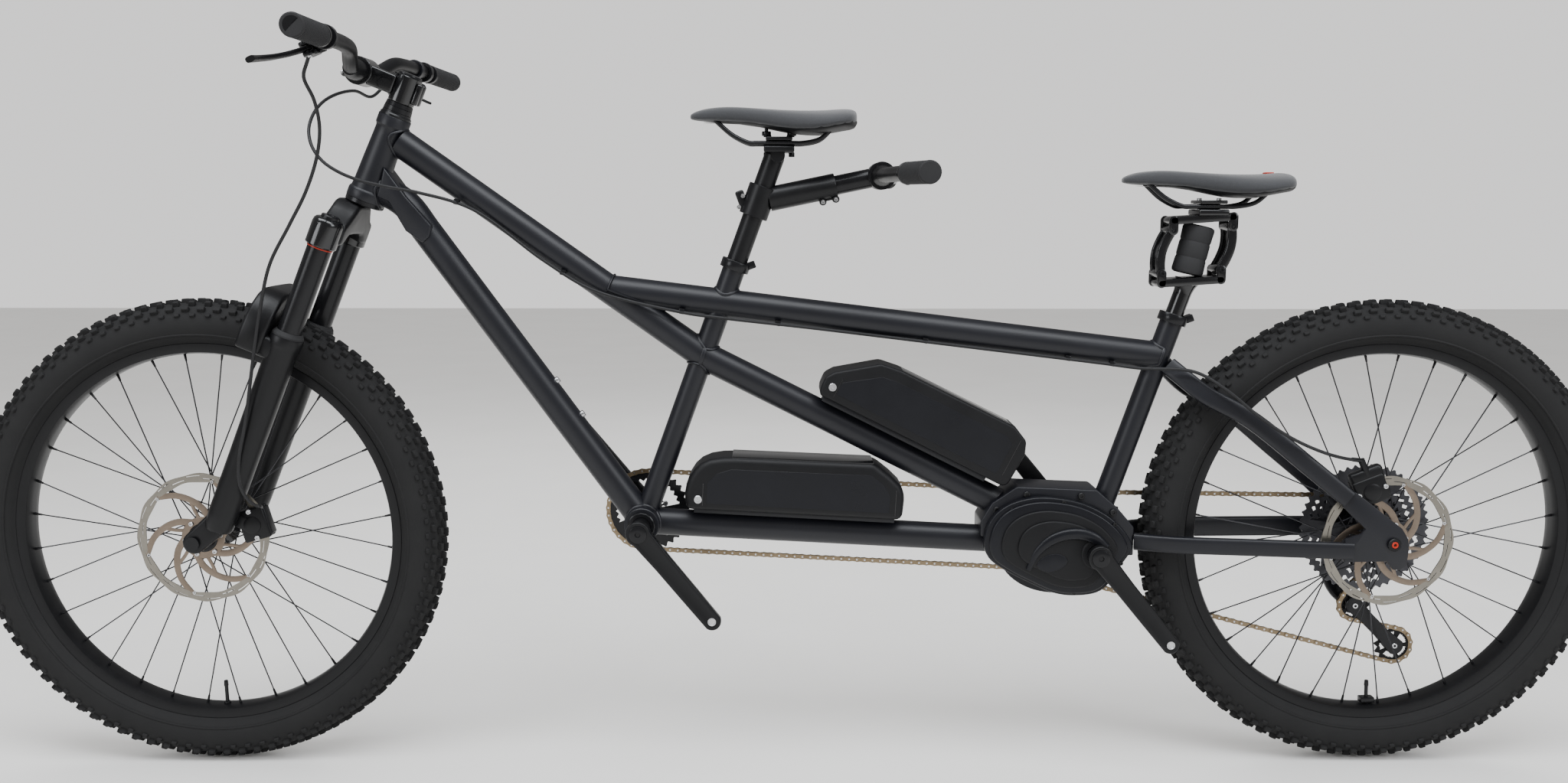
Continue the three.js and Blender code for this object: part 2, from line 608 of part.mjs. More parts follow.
function pivotFrame(pivots, rise) {
  const [front, rear] = pivots;
  const beam = slab(capsule(circle(front.x, front.z + rise, 6), circle(rear.x, rear.z + rise, 6)), -earOuter, earOuter);
  const ears = pivots.flatMap((pivot) => [-1, 1].map((side) => block(
    vec(pivot.x, side * (earInner + earOuter) / 2, pivot.z + rise * 0.3),
    vec(14, earOuter - earInner, 1.4 * Math.abs(rise)))));
  return cut(join([beam, ...ears]), pivotClear(pivots));
}

function stokerPost() {
  return join([
    rod(along(stokerCrank, stokerUp, 200), postTop, stokerPostRadius),
    rod(along(postTop, stokerUp, -14), along(postTop, stokerUp, 6), stokerPostRadius, 20, 19),
    pivotFrame(lowerPivots, -15),
  ]);
}
const link = (index) => slab(capsule(circle(lowerPivots[index].x, lowerPivots[index].z, linkEnd),
  circle(upperPivots[index].x, upperPivots[index].z, linkEnd)), -linkHalf, linkHalf, 1);
const stokerClamp = vec((upperPivots[0].x + upperPivots[1].x) / 2 + 14, 0, upperPivots[0].z + 36);

function postHead() {
  return join([
    pivotFrame(upperPivots, 15),
    block(vec(stokerClamp.x, 0, stokerClamp.z - 14), vec(34, 40, 18)),
    railClamp(stokerClamp),
  ]);
}
function elastomer() {
  const low = along(lowerPivots[0].clone().lerp(lowerPivots[1], 0.5), linkUp, -8.5 + gap);
  const high = along(upperPivots[0].clone().lerp(upperPivots[1], 0.5), linkUp, 8.5 - gap);
  const body = rod(along(low, linkUp, 2), along(high, linkUp, -2), elastomerRadius, 24);
  const beams = [[lowerPivots, -15], [upperPivots, 15]].map(([pivots, rise]) => slab(capsule(
    circle(pivots[0].x, pivots[0].z + rise, 6 + gap), circle(pivots[1].x, pivots[1].z + rise, 6 + gap)), -40, 40));
  return cut(body, beams);
}
add(bicycle, 'stoker_post', stokerPost(), blackAlloy);
add(bicycle, 'front_link', link(0), blackAlloy);
add(bicycle, 'rear_link', link(1), blackAlloy);
add(bicycle, 'post_head', postHead(), blackAlloy);
add(bicycle, 'elastomer', elastomer(), elastomerGrey);
add(bicycle, 'stoker_saddle', saddle(stokerClamp), rubber);

// ---------------------------------------------------------------- stoker's bar
const stokerStemFoot = along(captainCrank, captainUp, stokerStemHeight);
const stokerStemBack = slope(stokerStemRise);
const stokerBarCenter = along(stokerStemFoot, stokerStemBack, stokerBarReach);
const sliderRadius = 14.6;
const sleeveRadius = 18.6;

function stemSleeve() {
  const collar = rod(along(stokerStemFoot, captainUp, -24), along(stokerStemFoot, captainUp, 24), 22);
  const sleeve = rod(along(stokerStemFoot, stokerStemBack, 12), along(stokerStemFoot, stokerStemBack, 120), sleeveRadius);
  const post = rod(along(stokerStemFoot, captainUp, -40), along(stokerStemFoot, captainUp, 40), captainPostRadius + gap);
  const bore = rod(along(stokerStemFoot, stokerStemBack, 24), along(stokerStemFoot, stokerStemBack, 130), sliderRadius + 0.4);
  return cut(join([collar, sleeve]), [post, bore]);
}
function stemSlider() {
  const tubeBody = rod(along(stokerStemFoot, stokerStemBack, 52), along(stokerBarCenter, stokerStemBack, -12), sliderRadius);
  const clamp = barrel(stokerBarCenter.x, stokerBarCenter.z, -24, 24, 21);
  return join([tubeBody, clamp]).subtract(barrel(stokerBarCenter.x, stokerBarCenter.z, -40, 40, 15.9 + gap));
}

function barAndRoute(points, bulgeHalf, bulge) {
  const bar = sweep(points, 2 * barRadius, 2 * barRadius, 14, 8);
  const middle = points[Math.floor(points.length / 2)];
  return bar.add(barrel(middle.x, middle.z, -bulgeHalf, bulgeHalf, bulge));
}
const mirrored = (half) => [...half.map((p) => vec(p.x, -p.y, p.z)).reverse(), ...half.slice(1)];
const stokerRoute = mirrored([vec(0, 0, 0), vec(0, 60, 0), vec(4, 110, 0), vec(16, 190, 0),
  vec(38, stokerBarHalfWidth, -1)].map((p) => p.add(vec(stokerBarCenter.x, 0, stokerBarCenter.z))));
const stokerGripInner = 212;

function gripOn(points, inner, outer) {
  const [tip, before] = [points[points.length - 1], points[points.length - 2]];
  const heading = tip.clone().sub(before).normalize();
  const at = (y, extra) => along(tip, heading, (y - tip.y) / heading.y + extra);
  return rod(at(inner, 0), at(outer, 0), gripRadius, 14)
    .subtract(rod(at(inner, -5), at(outer, 5), barRadius + 0.8, 10));
}
add(bicycle, 'stoker_stem_sleeve', stemSleeve(), blackAlloy);
add(bicycle, 'stoker_stem_slider', stemSlider(), blackAlloy);
add(bicycle, 'stoker_bar', barAndRoute(stokerRoute, 30, 15.9), blackAlloy);
const stokerGrip = gripOn(stokerRoute, stokerGripInner, stokerBarHalfWidth + 1);
add(bicycle, 'stoker_right_grip', stokerGrip, rubber);
add(bicycle, 'stoker_left_grip', stokerGrip.mirror([0, 1, 0]), rubber);

// ---------------------------------------------------------------- fork, in the steering frame
const legX = -legForward;
const leg = (side, low, high, radius, sides = 12) => rod(vec(legX, side * legSpread, low), vec(legX, side * legSpread, high), radius, sides);

function forkUppers() {
  const arms = crossSlab([[-legSpread, crownBottom + 2], [-legSpread, crownBottom + 40], [-46, crownBottom + 52],
    [-27, headTubeBottom - 8], [27, headTubeBottom - 8], [46, crownBottom + 52], [legSpread, crownBottom + 40],
    [legSpread, crownBottom + 2], [46, crownBottom + 6], [34, crownBottom + 24], [-34, crownBottom + 24],
    [-46, crownBottom + 6]].reverse(), -32, 12);
  const legs = [-1, 1].flatMap((side) => [
    leg(side, crownBottom, crownBottom + 42, 22.5),
    leg(side, lowersTop - 160, crownBottom + 4, stanchionRadius),
  ]);
  const bores = [-1, 1].map((side) => leg(side, lowersTop - 170, crownBottom - 10, stanchionRadius - wall));
  const column = rod(vec(0, 0, crownBottom + 50), vec(0, 0, stemStack + 22), steererRadius);
  const race = rod(vec(0, 0, headTubeBottom - 10), vec(0, 0, headTubeBottom - 0.5), 28, 24);
  return cut(join([arms, ...legs, column, race]), bores);
}
add(steering, 'fork_uppers', forkUppers(), gloss);

function forkLowers() {
  const legs = [-1, 1].flatMap((side) => [
    leg(side, 34, lowersTop, lowerLegRadius),
    leg(side, lowersTop - 14, lowersTop, lowerLegRadius + 2),
    slab(capsule(circle(-forkOffset, 0, 17), circle(legX, 48, 19)),
      side < 0 ? -78 : frontHubHalf + 0.5, side < 0 ? -frontHubHalf - 0.5 : 78),
  ]);
  const bores = [-1, 1].map((side) => leg(side, 52, lowersTop + 5, stanchionRadius + 0.4));
  const top = tyreRadius + 36;
  const arch = crossSlab([[-90, lowersTop - 40], [-90, lowersTop], [-74, top - 18], [-50, top], [50, top],
    [74, top - 18], [90, lowersTop], [90, lowersTop - 40], [46, lowersTop - 40], [44, lowersTop],
    [34, top - 30], [-34, top - 30], [-44, lowersTop], [-46, lowersTop - 40]].reverse(), legX - 64, legX - 24);
  const ties = [-1, 1].map((side) => block(vec(legX - 20, side * legSpread, lowersTop - 24), vec(34, 40, 32)));
  const axle = barrel(-forkOffset, 0, -82, 82, 7.5);
  return cut(join([...legs, arch, ...ties, axle]), bores);
}
add(steering, 'fork_lowers', forkLowers(), blackAlloy);

// caliper straddling a rotor: radial block with a slot for the disc
function caliper(center, angle, plane, halfLow, halfHigh) {
  const reach = slope(angle);
  const middle = along(center, reach, rotorRadius - 14);
  const size = vec(46, halfLow + halfHigh, 60);
  middle.y = plane + (halfHigh - halfLow) / 2;
  const slotMiddle = along(center, reach, rotorRadius - 22);
  slotMiddle.y = plane;
  return block(middle, size, angle).subtract(block(slotMiddle, vec(50, rotorThickness + 1.6, 90), angle));
}
function frontCaliper() {
  const center = vec(-forkOffset, 0, 0);
  const body = caliper(center, 38, frontRotorPlane, 13, 11);
  const arm = block(vec(legX + 22, -50.5, 50), vec(44, 9, 22));
  const legSleeve = leg(-1, 0, lowersTop, lowerLegRadius + gap);
  const lugSleeve = slab(capsule(circle(-forkOffset, 0, 17.4), circle(legX, 48, 19.4)), -79, -frontHubHalf - 0.1);
  const slot = block(vec(legX + 20, frontRotorPlane, 50), vec(90, rotorThickness + 1.6, 60));
  return cut(join([body, arm]), [legSleeve, lugSleeve, slot.intersect(barrel(-forkOffset, 0, -60, 60, rotorRadius + 2))]);
}
add(steering, 'front_caliper', frontCaliper(), blackAlloy);

function rearCaliper() {
  const center = vec(rearAxle.x, 0, rearAxle.z);
  const body = caliper(center, 112, rearRotorPlane, 10, 12);
  return body;
}
add(bicycle, 'rear_caliper', rearCaliper(), blackAlloy);

// ---------------------------------------------------------------- cockpit, in the steering frame
const barCenter = vec(-stemLength, 0, stemStack);
function stem() {
  const low = headTubeTop + gap;
  const body = join([
    rod(vec(0, 0, low), vec(0, 0, stemStack - 21), 22, 18, 19),
    rod(vec(0, 0, stemStack - 22), vec(0, 0, stemStack + 20), 19.5, 18),
    block(vec(-stemLength / 2, 0, stemStack), vec(stemLength - 20, 34, 30)),
    barrel(barCenter.x, barCenter.z, -24, 24, 21),
  ]);
  const steererBore = rod(vec(0, 0, low - 5), vec(0, 0, stemStack + 40), steererRadius + gap);
  return cut(body, [steererBore, barrel(barCenter.x, barCenter.z, -50, 50, 15.9 + gap)]);
}
add(steering, 'stem', stem(), gloss);

const barRoute = mirrored([vec(0, 0, 0), vec(0, 50, 0), vec(0.1 * barSweep, 75, 0.28 * barRise),
  vec(0.24 * barSweep, 110, 0.8 * barRise), vec(0.38 * barSweep, 150, 0.94 * barRise),
  vec(0.58 * barSweep, 240, 0.97 * barRise), vec(barSweep, barHalfWidth, barRise)].map((p) => p.add(barCenter)));
add(steering, 'handlebar', barAndRoute(barRoute, 40, 15.9), blackAlloy);
const captainGrip = gripOn(barRoute, barHalfWidth - gripLength, barHalfWidth + 1);
add(steering, 'right_grip', captainGrip, rubber);
add(steering, 'left_grip', captainGrip.mirror([0, 1, 0]), rubber);

// the bar's centre at a distance from the middle plane
function barAt(y) {
  const outer = barRoute.findIndex((point) => point.y >= y);
  const [from, to] = [barRoute[outer - 1], barRoute[outer]];
  return from.clone().lerp(to, (y - from.y) / (to.y - from.y));
}
const leverY = 212;
const leverPivot = barAt(leverY).add(vec(-27, 0, -24));

const leverNormal = vec(0.707, 0, -0.707);
// the blade's root turns inside this slot
function bladeSlot() {
  const round = rod(along(leverPivot, leverNormal, -4), along(leverPivot, leverNormal, 4), 9.5, 12);
  return round.add(block(leverPivot.clone().add(vec(0, 30, 0)), vec(60, 60, 8), 45));
}

function leverBody() {
  const seat = barAt(246);
  const ring = rod(barAt(241), barAt(252), 16.5, 10);
  const reservoir = rod(barAt(158).add(vec(-26, 0, -6)), barAt(246).add(vec(-24, 0, -8)), 10, 8);
  const neck = block(seat.clone().add(vec(-14, -1, -6)), vec(24, 9, 16));
  const hinge = rod(along(leverPivot, leverNormal, -10), along(leverPivot, leverNormal, 10), 8, 8);
  const bridge = block(leverPivot.clone().add(vec(4, -11, 4)), vec(22, 18, 20), 45);
  const bore = rod(barAt(232), barAt(262), barRadius + 0.9, 10);
  return join([ring, reservoir, neck, hinge, bridge]).subtract(bore).subtract(bladeSlot());
}

function leverBlade() {
  const root = rod(along(leverPivot, leverNormal, -3), along(leverPivot, leverNormal, 3), 7, 12);
  const start = leverPivot.clone();
  const route = [start, barAt(236).add(vec(-38, 0, -37)), barAt(262).add(vec(-48, 0, -47)),
    barAt(300).add(vec(-53, 0, -52)), barAt(338).add(vec(-50, 0, -49))];
  return join([root, sweep(route, 6, 6, 9, 6)]);
}
// the shifter shares the right lever's perch
function shifterPod() {
  const seat = barAt(206);
  return join([
    rod(seat.clone().add(vec(10, -4, -16)), seat.clone().add(vec(10, -4, -38)), 17, 10),
    rod(barAt(196), barAt(208), 15.5, 10),
    block(seat.clone().add(vec(4, -4, -14)), vec(12, 10, 16)),
    block(seat.clone().add(vec(-16, -4, -4)), vec(16, 10, 12)),
  ]).subtract(rod(barAt(186), barAt(218), barRadius + 1.1, 10));
}
add(steering, 'right_lever_body', leverBody().add(shifterPod()), blackAlloy);
add(steering, 'left_lever_body', leverBody().mirror([0, 1, 0]), blackAlloy);
add(steering, 'right_brake_blade', leverBlade(), blackAlloy);
add(steering, 'left_brake_blade', leverBlade().mirror([0, 1, 0]), blackAlloy);

const paddlePivot = barAt(206).add(vec(10, -4, -40));
function shiftPaddle() {
  const outline = capsule(circle(0, 0, 8), circle(34, 22, 6));
  const shape = new THREE.ExtrudeGeometry(asShape(outline), { depth: 4, bevelEnabled: false });
  shape.translate(paddlePivot.x, paddlePivot.y, paddlePivot.z - 3);
  return solid(shape);
}
add(steering, 'shift_paddle', shiftPaddle(), plastic);

// ---------------------------------------------------------------- wheels
function rimProfile() {
  const half = rimWidth / 2;
  return [[rimRadius, -half + 6], [rimRadius + 16, -half], [rimRadius + 16, -half + 2.5], [rimRadius + 9, -half + 5],
    [rimRadius + 9, half - 5], [rimRadius + 16, half - 2.5], [rimRadius + 16, half], [rimRadius, half - 6]];
}
function lacedWheel(hubProfile, flangeRadius, flangeLeft, flangeRight, bore) {
  const spokes = [];
  for (let i = 0; i < spokeCount; i += 1) {
    const side = i % 2 ? 1 : -1;
    const lean = i % 4 < 2 ? 1 : -1;
    const rimTurn = (2 * Math.PI * i) / spokeCount;
    const hubTurn = rimTurn + lean * radians(67.5);
    const flange = (side > 0 ? flangeRight : flangeLeft) + side * lean * 1.6;
    spokes.push(rod(
      vec(flangeRadius * Math.cos(hubTurn), flange, flangeRadius * Math.sin(hubTurn)),
      vec((rimRadius + 2) * Math.cos(rimTurn), side * 4, (rimRadius + 2) * Math.sin(rimTurn)), spokeRadius, 3));
  }
  const hub = turned(hubProfile, 12);
  return join([turned(rimProfile()), hub, ...spokes]).subtract(barrel(0, 0, -100, 100, bore));
}

const freehubStart = 23;
const frontHub = [[9, -frontHubHalf], [13, -frontHubHalf], [13, -46], [21.5, -46], [21.5, -35], [29, -31], [29, -26],
  [14, -20], [14, 24], [29, 29], [29, 34], [13, 40], [13, frontHubHalf], [9, frontHubHalf]];
const rearHub = [[7, -rearHubHalf], [14, -rearHubHalf], [14, -64], [21.5, -64], [21.5, -53], [30, -40], [30, -34],
  [16, -28], [16, 10], [30, 16], [30, 21], [16.8, freehubStart], [16.8, rearHubHalf - 6], [12, rearHubHalf - 6],
  [12, rearHubHalf], [7, rearHubHalf]];
add(frontWheel, 'front_wheel', lacedWheel(frontHub, 26, -28.5, 31.5, 7.9), blackAlloy);
add(rearWheel, 'rear_wheel', lacedWheel(rearHub, 27, -37, 18.5, 6.4), blackAlloy);

function tyre() {
  const bead = rimRadius + 9.4;
  const half = tyreWidth / 2;
  const channel = rimWidth / 2 - 5.5;
  const lip = rimRadius + 16.5;
  const outer = [[bead, channel], [lip, channel + 1.2], [lip, rimWidth / 2], [lip + 22, half],
    [tyreRadius - 10, half - 4], [tyreRadius, 10]];
  const inner = [[tyreRadius - 10, half - 12], [bead, channel - 4]];
  const flip = (points) => points.map(([r, y]) => [r, -y]).reverse();
  return turned([...outer, ...flip(outer), ...flip(inner), ...inner]);
}
add(frontWheel, 'front_tyre', tyre(), rubber);
add(rearWheel, 'rear_tyre', tyre(), rubber);

function rotor(plane) {
  const ring = [];
  for (let i = 0; i < 36; i += 1) {
    const turn = (2 * Math.PI * i) / 36;
    ring.push([rotorRadius * Math.cos(turn), rotorRadius * Math.sin(turn)]);
  }
  const windows = [];
  for (let k = 0; k < 6; k += 1) {
    const at = (radius, degrees) => [radius * Math.cos(radians(degrees + 60 * k)), radius * Math.sin(radians(degrees + 60 * k))];
    windows.push([at(84, 6), at(84, 28), at(84, 50), at(34, 30), at(34, -8)]);
  }
  const bore = Array.from({ length: 16 }, (_, i) => {
    const turn = (2 * Math.PI * i) / 16;
    return [22.4 * Math.cos(turn), 22.4 * Math.sin(turn)];
  });
  return slab(ring, plane - rotorThickness / 2, plane + rotorThickness / 2, 0, [bore, ...windows]);
}
add(frontWheel, 'front_rotor', rotor(frontRotorPlane), steel);
add(rearWheel, 'rear_rotor', rotor(rearRotorPlane), steel);

// ---------------------------------------------------------------- drivetrain
function crankArm(center, side) {
  const turn = radians(side < 0 ? crankSlope : crankSlope + 180);
  const end = vec(center.x + crankLength * Math.cos(turn), 0, center.z + crankLength * Math.sin(turn));
  const inner = side * crankInner;
  const outer = side * (crankInner + crankThickness);
  const arm = slab(capsule(circle(center.x, center.z, 19), circle(end.x, end.z, 13.5)),
    Math.min(inner, outer), Math.max(inner, outer), 2);
  return cut(arm, [barrel(end.x, end.z, -120, 120, 7.1, 16)]);
}
function cranks(name, center) {
  const spindle = barrel(center.x, center.z, -crankInner - crankThickness + 1, crankInner + 4, spindleRadius);
  const spindleBore = barrel(center.x, center.z, -120, 0, spindleRadius + 0.4);
  add(bicycle, `${name}_crank_right`, join([crankArm(center, 1), spindle]), blackAlloy);
  add(bicycle, `${name}_crank_left`, crankArm(center, -1).subtract(spindleBore), blackAlloy);
}
cranks('front', captainCrank);
cranks('rear', stokerCrank);

// a toothed wheel with a tooth gap centred on every chain roller
function toothed(center, teeth, start, plane, thickness = toothThickness) {
  const pitch = pitchRadius(teeth);
  const outline = [];
  for (let i = 0; i < teeth; i += 1) {
    [[0, -4.2], [0.5, 2.6]].forEach(([part, step]) => {
      const turn = start + (2 * Math.PI * (i + part)) / teeth;
      outline.push([center.x + (pitch + step) * Math.cos(turn), center.z + (pitch + step) * Math.sin(turn)]);
    });
  }
  return slab(outline, plane - thickness / 2, plane + thickness / 2);
}
function ringWindows(center, teeth, plane) {
  const outer = pitchRadius(teeth) - 12;
  return Array.from({ length: 5 }, (_, k) => {
    const at = (radius, degrees) => [center.x + radius * Math.cos(radians(degrees + 72 * k)),
      center.z + radius * Math.sin(radians(degrees + 72 * k))];
    return slab([at(outer, 8), at(outer, 36), at(outer, 64), at(26, 58), at(26, 14)], plane - 9, plane + 9);
  });
}
const spindleHole = (center) => barrel(center.x, center.z, 30, 100, spindleRadius + gap);
function frontChainring() {
  const plate = cut(toothed(captainCrank, timingTeeth, 0, timingLine), ringWindows(captainCrank, timingTeeth, timingLine));
  const boss = barrel(captainCrank.x, captainCrank.z, timingLine - 5, crankInner - gap, 20);
  return join([plate, boss]).subtract(spindleHole(captainCrank));
}
function rearChainrings() {
  const timing = cut(toothed(stokerCrank, timingTeeth, 0, timingLine), ringWindows(stokerCrank, timingTeeth, timingLine));
  const drive = toothed(stokerCrank, driveTeeth, 0, driveLine);
  const boss = barrel(stokerCrank.x, stokerCrank.z, driveLine - 2, crankInner - gap, 20);
  return join([timing, drive, boss]).subtract(spindleHole(stokerCrank));
}
add(bicycle, 'front_chainring', frontChainring(), blackAlloy);
add(bicycle, 'rear_chainrings', rearChainrings(), blackAlloy);

function cassette() {
  const first = freehubStart + 2.5;
  const rings = [];
  const chainCog = cassetteCogs.indexOf(sprocketTeeth);
  cassetteCogs.forEach((teeth, i) => {
    const middle = first + i * cogSpacing;
    const tip = pitchRadius(teeth) + 2;
    if (i === chainCog) {
      rings.push([38, middle - cogSpacing / 2 - 0.8], [38, middle - 0.9], [tip, middle - 0.9], [tip, middle + 0.9],
        [34, middle + 0.9], [34, middle + cogSpacing / 2]);
    } else {
      rings.push([tip, middle]);
    }
  });
  const last = rings[rings.length - 1][1];
  return turned([[17.6, rings[0][1]], ...rings, [17.6, last]], 16);
}
add(rearWheel, 'cassette', cassette(), steel);

const guideCenter = vec(rearAxle.x, 0, rearAxle.z - 133);
const tensionCenter = vec(rearAxle.x + 68, 0, rearAxle.z - 200);
const guide = { x: guideCenter.x, z: guideCenter.z, r: pitchRadius(guideTeeth), turn: -1 };
const tension = { x: tensionCenter.x, z: tensionCenter.z, r: pitchRadius(tensionTeeth) };
const driveRing = { x: stokerCrank.x, z: stokerCrank.z, r: pitchRadius(driveTeeth) };
const sprocket = { x: rearAxle.x, z: rearAxle.z, r: pitchRadius(sprocketTeeth) };

// a chain as a closed band, grooved where teeth reach into it
function chainBand(pulleys, plane) {
  const outer = beltOutline(pulleys, chainHeight / 2, 18);
  const inner = beltOutline(pulleys, -chainHeight / 2, 18);
  const band = slab(outer, plane - chainWidth / 2, plane + chainWidth / 2, 0, [inner]);
  const grooves = pulleys.map((pulley) => barrel(pulley.x, pulley.z, plane - toothThickness / 2 - gap,
    plane + toothThickness / 2 + gap, pulley.r + 2.6 + 1, 24));
  return cut(band, grooves);
}
const timingPulleys = [captainCrank, stokerCrank].map((center) => circle(center.x, center.z, pitchRadius(timingTeeth)));
add(bicycle, 'timing_chain', chainBand(timingPulleys, timingLine), chainGold);
add(bicycle, 'drive_chain', chainBand([driveRing, tension, guide, sprocket], driveLine), chainGold);

function jockey(center, teeth) {
  const start = Math.PI / teeth;
  const boss = barrel(center.x, center.z, driveLine - 3.8, driveLine + 3.8, pitchRadius(teeth) - 6.2, 20);
  return join([toothed(center, teeth, start, driveLine), boss]).subtract(barrel(center.x, center.z, 0, 90, 4.4, 16));
}
add(bicycle, 'upper_jockey', jockey(guideCenter, guideTeeth), plastic);
add(bicycle, 'lower_jockey', jockey(tensionCenter, tensionTeeth), plastic);

const cagePlate = 4.2;
function derailleurCage() {
  const ends = [circle(guideCenter.x, guideCenter.z, 15), circle(tensionCenter.x, tensionCenter.z, 15)];
  const window = capsule(circle(guideCenter.x + 23, guideCenter.z - 22.5, 6), circle(guideCenter.x + 46, guideCenter.z - 45, 6));
  const plates = [-1, 1].map((side) => {
    const near = driveLine + side * cagePlate;
    const far = driveLine + side * (cagePlate + 2);
    return slab(capsule(...ends), Math.min(near, far), Math.max(near, far), 0, [window]);
  });
  const pins = [guideCenter, tensionCenter].map((center) => barrel(center.x, center.z, driveLine - 6, driveLine + 6, 4, 16));
  return join([...plates, ...pins]);
}
add(bicycle, 'derailleur_cage', derailleurCage(), blackAlloy);

const hangerBolt = vec(rearAxle.x + 9, 0, rearAxle.z - 29);
function derailleurBody() {
  const outer = rearHubHalf + gap + dropoutThickness + gap;
  const mount = barrel(hangerBolt.x, hangerBolt.z, outer, outer + 16, 12);
  const arm = sweep([vec(hangerBolt.x, outer + 9, hangerBolt.z), vec(hangerBolt.x - 34, outer + 9, hangerBolt.z - 26),
    vec(guideCenter.x - 26, outer + 2, guideCenter.z + 34), vec(guideCenter.x, outer - 12, guideCenter.z + 2)], 22, 28, 8, 8);
  const knuckle = barrel(guideCenter.x, guideCenter.z, driveLine + cagePlate + 2 + gap, outer - 2, 17);
  return join([mount, knuckle, arm.subtract(barrel(hangerBolt.x, hangerBolt.z, 0, outer, 60))]);
}
add(bicycle, 'derailleur_body', derailleurBody(), blackAlloy);

// ---------------------------------------------------------------- hoses
// the front hose runs from the left lever, over the fork arch, down the left leg to the caliper
function frontHose() {
  const route = [vec(-672, -182, 1050), vec(-665, -165, 1020), vec(-665, -148, 985), vec(-676, -132, 945),
    vec(-700, -116, 895), vec(-730, -104, 848), vec(-764, -98, 790), vec(-782, -96, 725), vec(-797, -95, 650),
    vec(-814, -94, 555), vec(-826, -95, 500), vec(-827, -94, 462), vec(-819, -87, 438), vec(-813, -73, 426),
    vec(-812, -58, 420)];
  return sweep(route, 2 * hoseRadius, 2 * hoseRadius, 24, 5);
}
// the rear hose loops round the head tube, then follows the tubes to the rear caliper
function rearHose() {
  const under = (point, direction, distance, drop, side) => {
    const down = vec(direction.z, 0, -direction.x);
    const place = along(along(point, direction, distance), down, drop);
    place.y = side;
    return place;
  };
  const topDirection = topRear.clone().sub(topFront).normalize();
  const route = [vec(-672, 120, 1046), vec(-684, 80, 1052), vec(-700, 40, 1044), vec(-712, 5, 1028), vec(-717, -25, 1006),
    vec(-715, -48, 983), vec(-706, -62, 960), vec(-690, -69, 940), vec(-668, -71, 925), vec(-640, -68, 913),
    vec(-600, -58, 903), vec(-560, -44, 895), under(mainHead, mainDirection, 168, 17, -25),
    under(mainHead, mainDirection, 300, 19, -22), under(mainHead, mainDirection, 384, 12, -26),
    under(topFront, topDirection, -55, 20, -24), under(topFront, topDirection, 0, 21, -25), under(topFront, topDirection, 150, 20, -21),
    under(topFront, topDirection, 400, 20, -21), under(topFront, topDirection, 590, 20, -23),
    under(topFront, topDirection, 645, 20, -29), vec(605, -50, 628), vec(650, -68, 602), vec(700, -79, 561),
    vec(745, -87, 532), vec(790, -87, 512), vec(830, -76, 500), vec(862, -62, 494)];
  return sweep(route, 2 * hoseRadius, 2 * hoseRadius, 42, 5);
}
add(bicycle, 'front_hose', frontHose(), rubber);
add(bicycle, 'rear_hose', rearHose(), rubber);

export default bicycle;
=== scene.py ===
# %% [markdown]
# # A tandem mountain bicycle
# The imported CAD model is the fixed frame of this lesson: it says where every piece sits and how it moves.
# Around it this script models the pieces as they look, with round tubes, knobbly tyres, laced spokes and
# padded saddles. Lengths are written in millimetres, as a bicycle maker would, and scaled to metres at the end.

# %% Setup
import math

import bmesh
import bpy
from mathutils import Matrix, Vector


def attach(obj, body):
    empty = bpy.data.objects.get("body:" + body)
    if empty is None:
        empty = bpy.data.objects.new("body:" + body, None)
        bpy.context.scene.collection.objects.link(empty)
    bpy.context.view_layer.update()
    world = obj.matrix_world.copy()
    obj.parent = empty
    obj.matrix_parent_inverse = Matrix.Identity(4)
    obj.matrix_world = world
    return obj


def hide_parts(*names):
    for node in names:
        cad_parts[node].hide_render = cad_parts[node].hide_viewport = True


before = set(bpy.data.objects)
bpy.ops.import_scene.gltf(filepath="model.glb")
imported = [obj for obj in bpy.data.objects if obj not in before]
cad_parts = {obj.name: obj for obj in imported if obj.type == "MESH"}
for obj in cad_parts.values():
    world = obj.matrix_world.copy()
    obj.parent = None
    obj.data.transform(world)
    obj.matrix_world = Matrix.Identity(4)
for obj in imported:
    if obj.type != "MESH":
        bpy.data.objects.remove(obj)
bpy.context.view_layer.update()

# %% [markdown]
# ## Camera, floor and light
# A bicycle is shown square on from its side, a little above the hub line. The floor is a plain pale sheet, and the
# world behind it is about as pale, so no dark band crosses the wheels.

# %% Camera
camera_data = bpy.data.cameras.new("side_camera")
camera_data.sensor_width = 36.0
camera_data.lens = 30.67
camera_data.clip_end = 60.0
camera = bpy.data.objects.new("side_camera", camera_data)
camera.location = (-0.0225, -2.0502, 0.8832)
camera.rotation_euler = (math.radians(81.874), math.radians(-0.068), math.radians(-0.199))
bpy.context.scene.collection.objects.link(camera)
bpy.context.scene.camera = camera

# %% Lights
def soft_light(name, place, aim_at, size, power, tint=(1.0, 1.0, 1.0), mirrored_in=True):
    data = bpy.data.lights.new(name, "AREA")
    data.shape = "RECTANGLE"
    data.size, data.size_y = size
    data.energy = power
    data.color = tint
    lamp = bpy.data.objects.new(name, data)
    lamp.location = place
    lamp.visible_glossy = mirrored_in
    lamp.rotation_euler = (Vector(aim_at) - Vector(place)).to_track_quat("-Z", "Y").to_euler()
    bpy.context.scene.collection.objects.link(lamp)


